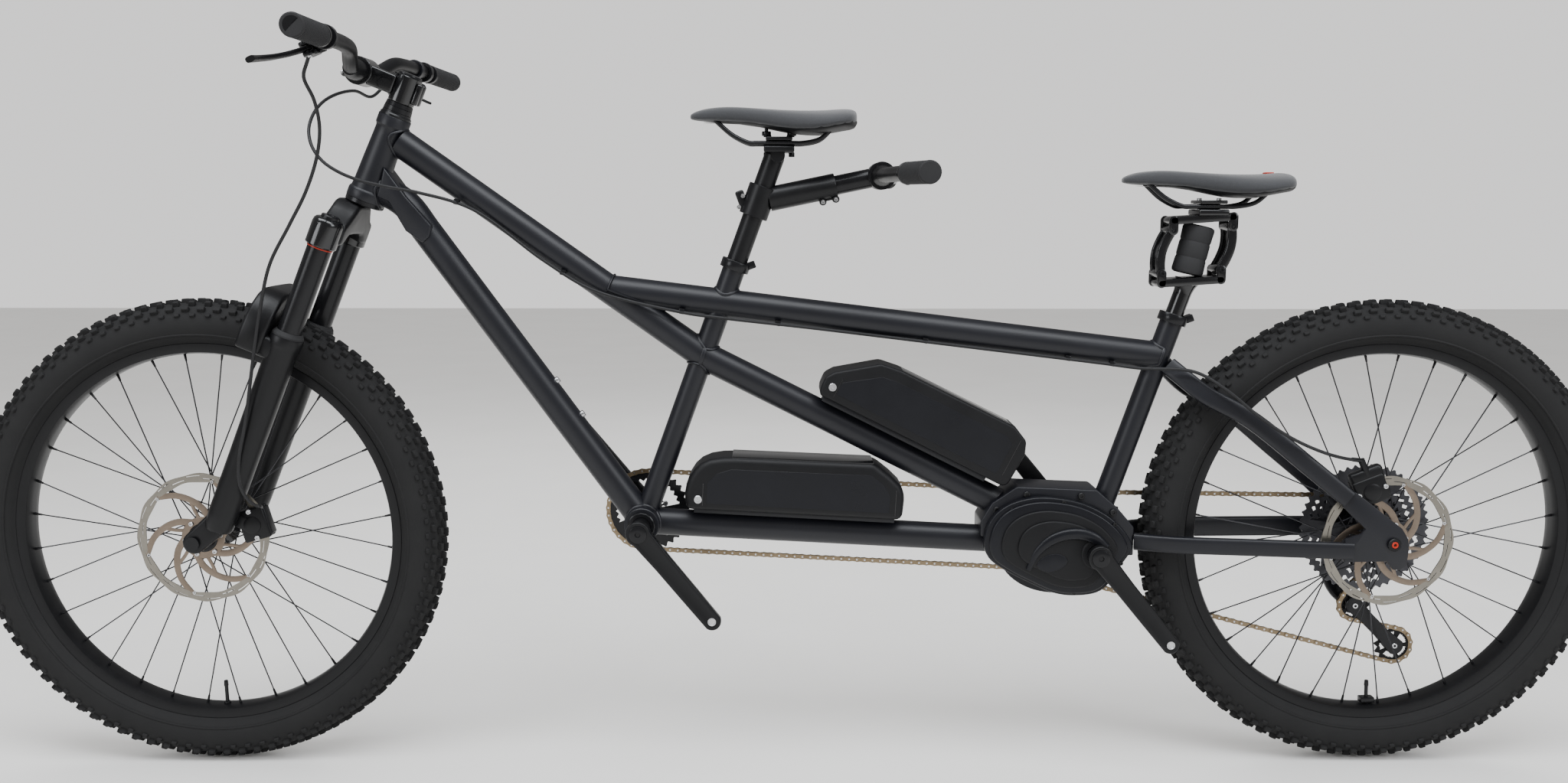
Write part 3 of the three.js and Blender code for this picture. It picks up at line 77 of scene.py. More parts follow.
soft_light("overhead_softbox", (-0.2, -1.0, 3.2), (0, 0, 0.4), (4.4, 1.5), 165, (0.93, 0.96, 1.0))
soft_light("left_softbox", (-3.0, -2.4, 1.8), (-0.3, 0, 0.6), (1.6, 1.6), 46, (0.95, 0.97, 1.0))
soft_light("right_softbox", (3.0, -2.2, 2.2), (0.3, 0, 0.6), (1.6, 1.6), 58, (0.93, 0.96, 1.0))
soft_light("back_softbox", (0.3, 2.6, 2.4), (0, 0, 0.5), (3.0, 1.2), 45, mirrored_in=False)
world = bpy.data.worlds.new("studio")
bpy.context.scene.world = world
world.use_nodes = True
world.node_tree.nodes["Background"].inputs["Color"].default_value = (0.90, 0.89, 0.885, 1)

# %% [markdown]
# ## Shader sums
# Procedural materials are sums of noise. Wire wraps a socket so that the sums can be written as ordinary
# arithmetic, in either order, instead of a page of node plumbing.

# %% Wire
class Wire:
    """A shader socket that can be added, multiplied and blended."""

    def __init__(self, tree, socket):
        self.tree = tree
        self.socket = socket

    def sum_with(self, other, operation, swapped=False):
        node = self.tree.nodes.new("ShaderNodeMath")
        node.operation = operation
        pair = (other, self) if swapped else (self, other)
        for slot, value in zip(node.inputs, pair):
            if isinstance(value, Wire):
                self.tree.links.new(value.socket, slot)
            else:
                slot.default_value = value
        return Wire(self.tree, node.outputs[0])

    def __add__(self, other):
        return self.sum_with(other, "ADD")

    def __radd__(self, other):
        return self.sum_with(other, "ADD", True)

    def __rsub__(self, other):
        return self.sum_with(other, "SUBTRACT", True)

    def __mul__(self, other):
        return self.sum_with(other, "MULTIPLY")

    def clipped(self):
        node = self.tree.nodes.new("ShaderNodeClamp")
        self.tree.links.new(self.socket, node.inputs["Value"])
        return Wire(self.tree, node.outputs[0])


# %% [markdown]
# The wall behind the bicycle is pale, but the room in front of it is dim. Glossy black paint shows that room, so the
# world is weaker for mirrored rays than for the wall itself. The soft lights still draw their streaks on the tubes.

# %% Room
wall_strength, mirrored_loss = 1.24, 0.94
light_path = world.node_tree.nodes.new("ShaderNodeLightPath")
room = wall_strength - Wire(world.node_tree, light_path.outputs["Is Glossy Ray"]) * mirrored_loss
world.node_tree.links.new(room.socket, world.node_tree.nodes["Background"].inputs["Strength"])
print("wall strength:", wall_strength)

# %% [markdown]
# ## Finishes
# Finish starts a material with one shader. Each real finish below is a base colour that wanders a little between
# two shades, a roughness that wanders with handling and dust, and a fine bump at the true size of its grain.

# %% Finish
class Finish:
    def __init__(self, name, roughness, metallic=0.0, coat=0.0, coat_roughness=0.1, specular=0.5, sheen=0.0):
        self.material = bpy.data.materials.new(name)
        self.material.use_nodes = True
        self.tree = self.material.node_tree
        self.shader = self.tree.nodes["Principled BSDF"]
        self.shader.inputs["Roughness"].default_value = roughness
        self.shader.inputs["Metallic"].default_value = metallic
        self.shader.inputs["Coat Weight"].default_value = coat
        self.shader.inputs["Coat Roughness"].default_value = coat_roughness
        self.shader.inputs["Specular IOR Level"].default_value = specular
        self.shader.inputs["Sheen Weight"].default_value = sheen
        self.coordinates = self.tree.nodes.new("ShaderNodeTexCoord").outputs["Object"]

    def stretched(self, scale):
        node = self.tree.nodes.new("ShaderNodeMapping")
        node.inputs["Scale"].default_value = scale
        self.tree.links.new(self.coordinates, node.inputs["Vector"])
        return node.outputs[0]

    def noise(self, per_metre, detail=3.0, rough=0.55, stretch=(1, 1, 1)):
        node = self.tree.nodes.new("ShaderNodeTexNoise")
        node.inputs["Scale"].default_value = per_metre
        node.inputs["Detail"].default_value = detail
        node.inputs["Roughness"].default_value = rough
        self.tree.links.new(self.stretched(stretch), node.inputs["Vector"])
        return Wire(self.tree, node.outputs[0])

    def cells(self, per_metre):
        node = self.tree.nodes.new("ShaderNodeTexVoronoi")
        node.inputs["Scale"].default_value = per_metre
        self.tree.links.new(self.coordinates, node.inputs["Vector"])
        return Wire(self.tree, node.outputs["Distance"])

    def colour(self, amount, dark, light):
        node = self.tree.nodes.new("ShaderNodeMix")
        node.data_type = "RGBA"
        self.tree.links.new(amount.clipped().socket, node.inputs["Factor"])
        node.inputs["A"].default_value = (*dark, 1)
        node.inputs["B"].default_value = (*light, 1)
        self.tree.links.new(node.outputs["Result"], self.shader.inputs["Base Color"])

    def roughness(self, amount):
        self.tree.links.new(amount.clipped().socket, self.shader.inputs["Roughness"])

    def bump(self, amount, depth, strength=0.6):
        node = self.tree.nodes.new("ShaderNodeBump")
        node.inputs["Strength"].default_value = strength
        node.inputs["Distance"].default_value = depth
        self.tree.links.new(amount.socket, node.inputs["Height"])
        self.tree.links.new(node.outputs[0], self.shader.inputs["Normal"])


# %% Painted and coated metal
def satin_paint():
    finish = Finish("satin_frame_paint", 0.4, 0.0, coat=0.12, coat_roughness=0.35, specular=0.32)
    broad = finish.noise(9, 3)
    fleck = finish.noise(2600, 2)
    finish.colour(broad * 0.7 + fleck * 0.3, (0.0020, 0.0021, 0.0034), (0.0056, 0.0060, 0.0098))
    finish.roughness(0.35 + broad * 0.12 + fleck * 0.06)
    finish.bump(fleck, 0.00008, 0.25)
    return finish.material


def gloss_black():
    finish = Finish("gloss_black_paint", 0.16, 0.0, coat=0.5, coat_roughness=0.05, specular=0.35)
    smudge = finish.noise(26, 4)
    finish.colour(smudge, (0.0015, 0.0015, 0.0018), (0.0035, 0.0035, 0.0042))
    finish.roughness(0.12 + smudge * 0.16)
    finish.bump(finish.noise(900, 2), 0.00003, 0.2)
    return finish.material


def satin_black_alloy(name="satin_black_alloy", dark=(0.0020, 0.0020, 0.0023), light=(0.0062, 0.0062, 0.0070),
                      rough=0.36):
    finish = Finish(name, rough, 0.0, coat=0.05, coat_roughness=0.3, specular=0.22)
    cloud = finish.noise(40, 4)
    grain = finish.noise(3200, 2)
    finish.colour(cloud * 0.6 + grain * 0.4, dark, light)
    finish.roughness((rough - 0.06) + cloud * 0.14)
    finish.bump(grain, 0.00006, 0.3)
    return finish.material


def bare_metal(name, dark, light, rough, scratch=(1, 1, 1), depth=0.00004):
    finish = Finish(name, rough, 1.0)
    cloud = finish.noise(60, 4)
    scratches = finish.noise(1500, 3, stretch=scratch)
    finish.colour(cloud * 0.55 + scratches * 0.45, dark, light)
    finish.roughness((rough - 0.08) + scratches * 0.2)
    finish.bump(scratches, depth, 0.4)
    return finish.material


# %% Rubber, plastic and cloth
def rubber(name, dark, light, grain_scale, rough=0.85, depth=0.0002):
    finish = Finish(name, rough, 0.0, specular=0.25)
    dust = finish.noise(24, 5)
    grain = finish.noise(grain_scale, 3)
    finish.colour(dust * 0.8 + grain * 0.2, dark, light)
    finish.roughness((rough - 0.12) + dust * 0.18)
    finish.bump(grain, depth, 0.5)
    return finish.material


def moulded_plastic(name="moulded_plastic", dark=(0.0024, 0.0024, 0.0028), light=(0.0066, 0.0066, 0.0074), rough=0.5):
    finish = Finish(name, rough, 0.0, specular=0.22)
    cloud = finish.noise(18, 4)
    spark = finish.cells(1400)
    finish.colour(cloud * 0.7 + spark * 0.5, dark, light)
    finish.roughness((rough - 0.08) + cloud * 0.16)
    finish.bump(spark, 0.00012, 0.45)
    return finish.material


def saddle_cloth():
    finish = Finish("saddle_cloth", 0.78, 0.0, specular=0.3, sheen=0.25)
    wear = finish.noise(14, 4)
    pebble = finish.cells(900)
    fibre = finish.noise(2600, 2)
    finish.colour(wear * 0.5 + pebble * 0.7, (0.011, 0.0115, 0.013), (0.030, 0.031, 0.034))
    finish.roughness(0.68 + wear * 0.2)
    finish.bump(pebble * 0.8 + fibre * 0.2, 0.00025, 0.55)
    return finish.material


FINISH = {
    "paint": (satin_paint(), "frame_paint"),
    "gloss": (gloss_black(), "gloss_alloy"),
    "alloy": (satin_black_alloy(), "black_alloy"),
    "alloy_sheen": (satin_black_alloy("polished_black_alloy", (0.003, 0.003, 0.0035), (0.009, 0.009, 0.010), 0.22),
                    "black_alloy"),
    "plastic": (moulded_plastic(), "housing_plastic"),
    "plastic_satin": (moulded_plastic("satin_plastic", (0.003, 0.0031, 0.0042), (0.007, 0.0074, 0.0098), 0.3),
                      "housing_plastic"),
    "tyre": (rubber("tyre_tread", (0.005, 0.005, 0.0055), (0.0145, 0.0143, 0.0142), 500), "tyre_rubber"),
    "grip": (rubber("grip_rubber", (0.009, 0.009, 0.0095), (0.021, 0.021, 0.022), 1400, 0.75), "grip_rubber"),
    "hose": (rubber("hose_jacket", (0.008, 0.008, 0.0085), (0.016, 0.016, 0.017), 1800, 0.5, 0.00005), "grip_rubber"),
    "cloth": (saddle_cloth(), "saddle_cover"),
    "rotor": (bare_metal("rotor_steel", (0.16, 0.15, 0.13), (0.34, 0.315, 0.27), 0.36), "rotor_steel"),
    "rotor_arm": (bare_metal("rotor_bronze", (0.14, 0.11, 0.085), (0.30, 0.24, 0.19), 0.42), "rotor_steel"),
    "chain": (bare_metal("chain_bronze", (0.15, 0.11, 0.07), (0.36, 0.28, 0.18), 0.38), "chain_steel"),
    "cog": (bare_metal("cog_steel", (0.035, 0.035, 0.038), (0.11, 0.11, 0.12), 0.4), "rotor_steel"),
    "bright": (bare_metal("bright_steel", (0.42, 0.42, 0.43), (0.72, 0.72, 0.73), 0.25), "rotor_steel"),
    "spoke": (bare_metal("black_spoke", (0.02, 0.02, 0.022), (0.07, 0.07, 0.075), 0.38), "black_alloy"),
    "red": (satin_black_alloy("red_anodised", (0.22, 0.012, 0.006), (0.42, 0.03, 0.012), 0.3), "black_alloy"),
}
print("finishes:", len(FINISH))

# %% [markdown]
# ## Places
# The same few lengths and angles set out the whole bicycle. The steering parts are easier to think of standing
# upright, so they are modelled in their own frame, with z up the steering axis, and STEERING leans them into place.

# %% Places
def lean(degrees):
    return Vector((math.cos(math.radians(degrees)), 0, math.sin(math.radians(degrees))))


def at(x, y, z):
    return Vector((x, y, z))


front_axle = at(-910, 0, 368)
rear_axle = at(910, 0, 368)
stoker_crank = at(463.5, 0, 349)
captain_crank = at(-235, 0, 386)
steer_up = lean(67.7)
steer_back = at(steer_up.z, 0, -steer_up.x)
steer_foot = front_axle + steer_back * 44
captain_up = lean(70)
stoker_up = lean(71.4)
main_joint = captain_crank + captain_up * 278
diagonal_down = lean(-26.7)
diagonal_up = lean(63.3)
boom_back = (stoker_crank - captain_crank).normalized()
boom_up = at(-boom_back.z, 0, boom_back.x)
top_front = captain_crank + captain_up * 364
top_rear = stoker_crank + stoker_up * 314
STEERING = Matrix.Translation(steer_foot) @ Matrix.Rotation(math.radians(22.3), 4, "Y")
MIRROR = Matrix.Diagonal((1, -1, 1, 1))


def head_point(height):
    return steer_foot + steer_up * height


# a turned piece is modelled about z: these lay it across the bicycle, or aim it from one point to another
ACROSS = Matrix(((1, 0, 0, 0), (0, 0, 1, 0), (0, -1, 0, 0), (0, 0, 0, 1)))


def across(x, z, y=0.0):
    return Matrix.Translation((x, y, z)) @ ACROSS


def aimed(start, end):
    return Matrix.Translation(start) @ (end - start).to_track_quat("Z", "Y").to_matrix().to_4x4()


# %% [markdown]
# ## Shaping helpers
# Bicycles are tubes, turned rings and flat plates, so five helpers do most of the work: turned spins a profile,
# sweep pushes a section along a route, plate thickens an outline, block and rod are the bevelled basics.
# Each gives a bmesh, and piece joins them, names the result and lets it ride on a body of the frame.

# %% Helpers
def only(geometry, kind):
    return [g for g in geometry if isinstance(g, kind)]


def rounded(bm, offset, segments=2, sharper_than=28):
    if offset > 0:
        limit = math.radians(sharper_than)
        edges = [e for e in bm.edges if e.is_manifold and e.calc_face_angle(0) > limit]
        bmesh.ops.bevel(bm, geom=edges, offset=offset, segments=segments, profile=0.5, affect="EDGES",
                        material=-1, clamp_overlap=True)
    return bm


def placed(bm, matrix):
    bmesh.ops.transform(bm, matrix=matrix, verts=bm.verts)
    return bm


def turned(profile, segments=64, closed=False):
    bm = bmesh.new()
    line = [bm.verts.new((r, 0, h)) for r, h in profile]
    pairs = list(zip(line, line[1:])) + ([(line[-1], line[0])] if closed else [])
    edges = [bm.edges.new(pair) for pair in pairs]
    bmesh.ops.spin(bm, geom=line + edges, cent=(0, 0, 0), axis=(0, 0, 1), dvec=(0, 0, 0),
                   angle=2 * math.pi, steps=segments, use_merge=True)
    bmesh.ops.remove_doubles(bm, verts=bm.verts, dist=1e-4)
    bmesh.ops.recalc_face_normals(bm, faces=bm.faces)
    return bm


def turned_across(profile, segments, x, z, closed=False):
    """A turned piece laid across the bicycle at (x, z)."""
    return placed(turned(profile, segments, closed), across(x, z))


def ring_section(bore, radius, low, high, chamfer=1):
    """The section of a ring whose two outer corners are softened."""
    return [(bore, low), (radius - chamfer, low), (radius, low + chamfer), (radius, high - chamfer),
            (radius - chamfer, high), (bore, high)]


def arc_points(x, z, radius, first, last, step):
    """(x, z) points round a centre, from one angle in degrees up to another."""
    return [(x + radius * math.cos(math.radians(a)), z + radius * math.sin(math.radians(a)))
            for a in range(first, last, step)]


def curve_through(points, step):
    """A smooth route through the points, as even as their spacing allows."""
    points = [Vector(p) for p in points]
    ends = [points[0] * 2 - points[1], *points, points[-1] * 2 - points[-2]]
    route = [points[0]]
    for a, b, c, d in zip(ends, ends[1:], ends[2:], ends[3:]):
        ab, bc, cd = [max(math.sqrt((q - p).length), 1e-4) for p, q in ((a, b), (b, c), (c, d))]
        leave = ((b - a) / ab - (c - a) / (ab + bc) + (c - b) / bc) * bc
        arrive = ((c - b) / bc - (d - b) / (bc + cd) + (d - c) / cd) * bc
        count = max(2, round((c - b).length / step))
        for i in range(1, count + 1):
            t = i / count
            route.append(b * (2 * t**3 - 3 * t**2 + 1) + leave * (t**3 - 2 * t**2 + t)
                         + c * (3 * t**2 - 2 * t**3) + arrive * (t**3 - t**2))
    return route


def sweep(points, width, depth=None, sides=20, square=1.0, side=(0, 1, 0), step=10, taper=None, looped=False):
    depth = depth or width
    route = [Vector(p) for p in points] if looped or len(points) < 3 else curve_through(points, step)
    bm = bmesh.new()
    lateral = Vector(side)
    places = []
    last = len(route) - 1
    for i, spot in enumerate(route):
        if looped:
            ahead = (route[(i + 1) % len(route)] - route[i - 1]).normalized()
        else:
            ahead = (route[min(i + 1, last)] - route[max(i - 1, 0)]).normalized()
        lateral = (lateral - ahead * lateral.dot(ahead)).normalized()
        turn = Matrix((lateral, ahead.cross(lateral), ahead)).transposed().to_4x4()
        size = taper(i / last) if taper else 1.0
        places.append(Matrix.Translation(spot) @ turn @ Matrix.Diagonal((size, size, size, 1)))
    ring = bmesh.ops.create_circle(bm, cap_ends=False, radius=1, segments=sides)["verts"]
    for v in ring:
        v.co.x = math.copysign(abs(v.co.x) ** square, v.co.x) * width / 2
        v.co.y = math.copysign(abs(v.co.y) ** square, v.co.y) * depth / 2
    bmesh.ops.transform(bm, matrix=places[0], verts=ring)
    edges = bm.edges[:]
    first = edges
    for before, after in zip(places, places[1:]):
        grown = bmesh.ops.extrude_edge_only(bm, edges=edges)["geom"]
        ring = only(grown, bmesh.types.BMVert)
        fresh = set(ring)
        edges = [e for e in only(grown, bmesh.types.BMEdge) if e.verts[0] in fresh and e.verts[1] in fresh]
        bmesh.ops.transform(bm, matrix=after @ before.inverted(), verts=ring)
    if looped:
        bmesh.ops.bridge_loops(bm, edges=first + edges)
    else:
        bmesh.ops.edgeloop_fill(bm, edges=first)
        bmesh.ops.edgeloop_fill(bm, edges=edges)
    bmesh.ops.recalc_face_normals(bm, faces=bm.faces)
    return bm


def plate(outline, low, high, bevel=0.0, segments=2):
    """An outline of (x, z) points, made thick across the bicycle."""
    bm = bmesh.new()
    face = bm.faces.new([bm.verts.new((x, low, z)) for x, z in outline])
    grown = bmesh.ops.extrude_face_region(bm, geom=[face])["geom"]
    bmesh.ops.translate(bm, vec=(0, high - low, 0), verts=only(grown, bmesh.types.BMVert))
    bmesh.ops.recalc_face_normals(bm, faces=bm.faces)
    return rounded(bm, bevel, segments)


def block(center, size, tilt=0.0, bevel=1.0, segments=2):
    bm = bmesh.new()
    matrix = Matrix.Translation(center) @ Matrix.Rotation(-math.radians(tilt), 4, "Y") @ Matrix.Diagonal((*size, 1))
    bmesh.ops.create_cube(bm, size=1, matrix=matrix)
    return rounded(bm, bevel, segments)


def rod(start, end, radius, end_radius=None, sides=32, bevel=0.0):
    bm = bmesh.new()
    length = (end - start).length
    middle = aimed(start, end) @ Matrix.Translation((0, 0, length / 2))
    bmesh.ops.create_cone(bm, cap_ends=True, segments=sides, radius1=radius, radius2=end_radius or radius,
                          depth=length, matrix=middle)
    return rounded(bm, bevel, 2, 50)


def joined(*parts):
    whole = bmesh.new()
    for part in parts:
        mesh = bpy.data.meshes.new("joining")
        part.to_mesh(mesh)
        part.free()
        whole.from_mesh(mesh)
        bpy.data.meshes.remove(mesh)
    return whole


def repeated(part, places):
    """Copies of one small shape at every place."""
    mesh = bpy.data.meshes.new("repeating")
    part.to_mesh(mesh)
    part.free()
    whole = bmesh.new()
    for place in places:
        mesh.transform(place)
        whole.from_mesh(mesh)
        mesh.transform(place.inverted())
    bpy.data.meshes.remove(mesh)
    return whole


def both_sides(part):
    """A piece and its mirror image across the middle plane."""
    other = part.copy()
    bmesh.ops.transform(other, matrix=MIRROR, verts=other.verts)
    bmesh.ops.reverse_faces(other, faces=other.faces)
    return joined(part, other)


def piece(name, bm, body, finish, stands_for=(), place=None, crease=32):
    if place:
        bmesh.ops.transform(bm, matrix=place, verts=bm.verts)
    bmesh.ops.scale(bm, vec=(0.001, 0.001, 0.001), verts=bm.verts)
    mesh = bpy.data.meshes.new(name)
    bm.to_mesh(mesh)
    bm.free()
    mesh.shade_smooth()
    mesh.set_sharp_from_angle(angle=math.radians(crease))
    material, slot = FINISH[finish]
    mesh.materials.append(material)
    shown = bpy.data.objects.new(name, mesh)
    bpy.context.scene.collection.objects.link(shown)
    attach(shown, body)
    if stands_for:
        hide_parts(*stands_for)
    print(name, len(mesh.polygons), "faces")
    return shown


def bolt_head(radius, height=3.0):
    """A cap screw's head with its round-cornered socket."""
    r = radius
    return turned([(0, height - 1.8), (r * 0.45, height - 1.6), (r * 0.5, height), (r * 0.9, height),
                   (r, height - 0.5), (r, 0), (0, 0)], 20)


def bolts(spots, radius=4.0, height=3.0):
    """Screw heads at (point, outward direction) pairs."""
    return repeated(bolt_head(radius, height), [aimed(point, point + outward) for point, outward in spots])


def closed_curve(points, step=8):
    """A smooth closed outline through (x, z) points."""
    ring = [Vector((x, 0, z)) for x, z in points]
    route = curve_through([ring[-2], ring[-1], *ring, ring[0], ring[1]], step)
    start = min(range(len(route) // 2), key=lambda i: (route[i] - ring[0]).length)
    end = max(range(len(route) // 2, len(route)), key=lambda i: -(route[i] - ring[0]).length)
    return [(p.x, p.z) for p in route[start:end]]

# %% [markdown]
# ## Frame tubes
# The frame is welded from round aluminium tubes. Each tube is one smooth cylinder or sweep. The welds are what make
# it look built by hand, so the line where two tubes meet is worked out and a soft bead is swept along it.

# %% Weld bead
def weld(branch_start, branch_end, branch_radius, main_start, main_end, main_radius, width=6.5):
    """A bead where a branch tube lands on a main tube, on the side that the branch comes from."""
    along_branch = (branch_end - branch_start).normalized()
    along_main = (main_end - main_start).normalized()
    first = along_branch.orthogonal().normalized()
    second = along_branch.cross(first)
    bead = []
    count = 96
    for i in range(count):
        turn = 2 * math.pi * i / count
        foot = branch_start + (first * math.cos(turn) + second * math.sin(turn)) * branch_radius
        off = foot - main_start
        off -= along_main * off.dot(along_main)
        run = along_branch - along_main * along_branch.dot(along_main)
        a, b, c = run.dot(run), 2 * off.dot(run), off.dot(off) - main_radius**2
        inside = b * b - 4 * a * c
        reach = (-b - math.sqrt(max(inside, 0))) / (2 * a)
        bead.append(foot + along_branch * reach)
    return sweep(bead, width, width * 0.62, sides=8, side=along_branch, looped=True)


WELDS = []

# %% [markdown]
# The head tube is turned: thick rings at both ends hold the bearings, and the body tapers between them.

# %% Head tube
headset = turned([(17, 576), (28.6, 576), (29, 577), (29, 588), (28, 590.5), (26.6, 592), (25.4, 602), (24.2, 640),
                  (22.6, 680), (22.4, 690), (23.2, 692), (24.5, 694), (24.5, 708), (24, 709), (17, 709)], 72,
                  closed=True)
piece("tapered_head_tube", headset, "frame", "paint", ["head_tube"], STEERING)
cups = joined(
    turned([(17, 568.6), (27.4, 568.6), (28.6, 570), (28.6, 575.6), (17, 575.6)], 64, closed=True),
    turned([(17, 709.3), (23.4, 709.3), (23.4, 712), (20, 716), (17, 716)], 64, closed=True),
)
piece("headset_rings", cups, "steering", "alloy_sheen", place=STEERING)

# %% Main tube
main_head = head_point(681)
diagonal_end = main_joint + diagonal_down * 525
main_way = (main_joint - main_head).normalized()
upper_rail = plate([(main_joint + diagonal_down * u + diagonal_up * v).xz[:] for u, v in
                    ((194, 20), (478, 20), (478, 29), (194, 29))], -13, 13, 1.2)
main_tube = joined(
    rod(main_head + main_way * 20, main_joint, 22, sides=56),
    rod(main_joint - diagonal_down * 2, diagonal_end, 22, sides=56),
    upper_rail,
)
piece("main_and_diagonal_tube", main_tube, "frame", "paint", ["main_tube"])
WELDS.append(weld(main_joint, main_head, 22, head_point(500), head_point(800), 23.2))
WELDS.append(weld(main_head, main_joint, 22, captain_crank, captain_crank + captain_up * 400, 17.5))
WELDS.append(weld(diagonal_end, main_joint, 22, captain_crank, captain_crank + captain_up * 400, 17.5))

# %% Rear top tube
top_way = (top_rear - top_front).normalized()
top_start = top_front - top_way * 178
top_tube = joined(rod(top_start, top_front, 22, sides=56), rod(top_front, top_rear, 22, sides=56))
piece("rear_top_tube_round", top_tube, "frame", "paint", ["rear_top_tube"])
WELDS.append(weld(top_rear, top_front - top_way * 100, 22, main_head, main_joint, 22))
WELDS.append(weld(top_front, top_rear, 22, stoker_crank, top_rear, 17.5))
WELDS.append(weld(captain_crank + captain_up * 434, top_front, 17.5, top_start, top_rear, 22))

# %% [markdown]
# The down tube bends as it leaves the head tube, so that the fork crown can swing under it, and a folded gusset
# fills the bend. The gusset is a plate with soft edges that ends in a point on the tube's side.

# %% Down tube
down_top = head_point(604)
bend_a = down_top + lean(-33) * 62
bend_b = down_top + lean(-42) * 108
down_way = (captain_crank - bend_b).normalized()
down_route = [down_top + lean(-33) * 14, bend_a, bend_b, bend_b + down_way * 60, bend_b + down_way * 300,
              captain_crank - down_way * 14]
down_tube = sweep(down_route, 45, sides=56, step=9)
gusset_low = head_point(580)
gusset_tip = bend_b + lean(-50) * 12
gusset = plate([(gusset_low.x + 22, gusset_low.z), (gusset_low.x + 40, gusset_low.z - 7),
                (gusset_tip.x - 33, gusset_tip.z + 9), (gusset_tip.x - 8, gusset_tip.z - 9),
                (gusset_tip.x + 3, gusset_tip.z), (gusset_tip.x + 7, gusset_tip.z + 17),
                (bend_a.x + 6, bend_a.z + 12), (down_top.x + 26, down_top.z + 23), (down_top.x + 20, down_top.z)],
               -25.5, 25.5, 3.5, 3)
piece("bent_down_tube", joined(down_tube, gusset), "frame", "paint", ["down_tube"])
WELDS.append(weld(bend_b, down_top - lean(-33) * 0.1, 22.5, head_point(400), head_point(800), 26.5))
WELDS.append(weld(bend_b, captain_crank, 22.5, at(-235, -60, 386), at(-235, 60, 386), 27))
down_out = at(-down_way.z, 0, down_way.x)
boss_spots = [bend_b + down_way * distance + down_out * 22 for distance in (300, 365)]
bosses = repeated(turned([(0, 3), (2.4, 3), (2.6, 4.4), (5, 4.4), (5.6, 3.4), (5.6, 0), (0, 0)], 20),
                  [aimed(spot, spot + down_out) for spot in boss_spots])
piece("bottle_boss_screws", bosses, "frame", "bright")

# %% Seat tubes and the front bracket shell
def seat_clamp(foot, up, height):
    low, high = foot + up * (height - 16), foot + up * (height - 2)
    lug = foot + up * (height - 9) + at(24, 0, 0)
    screw = lug + at(1, 0, 0)
    return joined(
        placed(turned([(17.6, 0), (22, 0), (22.5, 0.8), (22.5, 13.2), (22, 14), (17.6, 14)], 56, closed=True),
               aimed(low, high)),
        block(lug + at(0, -5, 0), (13, 6.5, 11), 20, 1.2), block(lug + at(0, 5, 0), (13, 6.5, 11), 20, 1.2),
        rod(screw + at(0, -8, 0), screw + at(0, 8, 0), 3.2, sides=20, bevel=0.5),
    )


shell = turned(ring_section(15.5, 27, -36.5, 36.5), 64, closed=True)
captain_tube = joined(rod(captain_crank + captain_up * 20, captain_crank + captain_up * 432, 17.45, sides=48),
                      placed(shell, across(captain_crank.x, captain_crank.z)))
piece("captain_seat_tube_and_shell", captain_tube, "frame", "paint", ["captain_seat_tube"])
piece("captain_seat_clamp", seat_clamp(captain_crank, captain_up, 434), "frame", "alloy_sheen")
cup_profile = [(14.6, 36.6), (21.5, 36.6), (21.5, 42), (20, 43), (14.6, 43)]
cup_pair = both_sides(turned_across(cup_profile, 16, captain_crank.x, captain_crank.z, closed=True))
piece("front_bearing_cups", cup_pair, "frame", "alloy_sheen")
stoker_tube = rod(stoker_crank + stoker_up * 73, stoker_crank + stoker_up * 382, 17.45, sides=48)
piece("stoker_seat_tube_round", stoker_tube, "frame", "paint", ["stoker_seat_tube"])
piece("stoker_seat_clamp", seat_clamp(stoker_crank, stoker_up, 384), "frame", "alloy_sheen")
WELDS.append(weld(captain_crank + captain_up * 200, captain_crank, 17.45, at(-235, -60, 386), at(-235, 60, 386), 27))

# %% Boom tube
boom_end = stoker_crank - boom_back * 152
lower_rail = plate([(captain_crank + boom_back * u + boom_up * v).xz[:] for u, v in
                    ((78, 19), (392, 19), (392, 28), (78, 28))], -13, 13, 1.2)
boom = joined(rod(captain_crank + boom_back * 20, boom_end, 21, sides=56), lower_rail)
piece("boom_tube_round", boom, "frame", "paint", ["boom_tube"])
WELDS.append(weld(boom_end, captain_crank, 21, at(-235, -60, 386), at(-235, 60, 386), 27))

# %% [markdown]
# The motor hangs from a bracket that all three rear tubes meet. Its outline wraps over the motor's round body.

# %% Motor bracket
sx, sz = stoker_crank.x, stoker_crank.z
core = [(sx - 56 + 92.6 * math.cos(math.radians(a)), sz + 1 + 72.6 * math.sin(math.radians(a)))
        for a in range(168, 22, -6)]
bracket_outline = [(sx - 174, sz + 20), (sx - 174, sz + 44), (sx - 157, sz + 72), (sx - 119, sz + 98),
                   (sx + 5, sz + 93),
                   (sx + 36, sz + 66), (sx + 64, sz + 34), (sx + 64, sz - 11), (sx + 44, sz - 11),
                   (sx + 33, sz + 16)] + core[::-1]
piece("motor_bracket_forging", plate(bracket_outline, -34, 34, 2.5, 3), "frame", "paint", ["motor_bracket"])

# %% [markdown]
# ## Rear triangle
# The stays have a rounded-rectangle section, deep and thin. A superellipse ring gives that section in one sweep.
# The dropout plates are cut from flat stock and carry the axle, the brake mount and the derailleur hanger.

# %% Stays
stay_end = rear_axle + at(-72, 0, 70)


def chain_stay(side):
    depth, z = (26, sz + 11) if side < 0 else (32, sz + 13)
    x = sx + 64
    route = [(x + 1.5, side * 31, z), (x + 20, side * 39, z), (x + 50, side * 49.5, z), (x + 90, side * 57, z),
             (rear_axle.x - 200, side * 65, z - 1), (rear_axle.x - 60, side * 77.3, z - 3)]
    return sweep(route, 14, depth, sides=32, square=0.6, step=14)


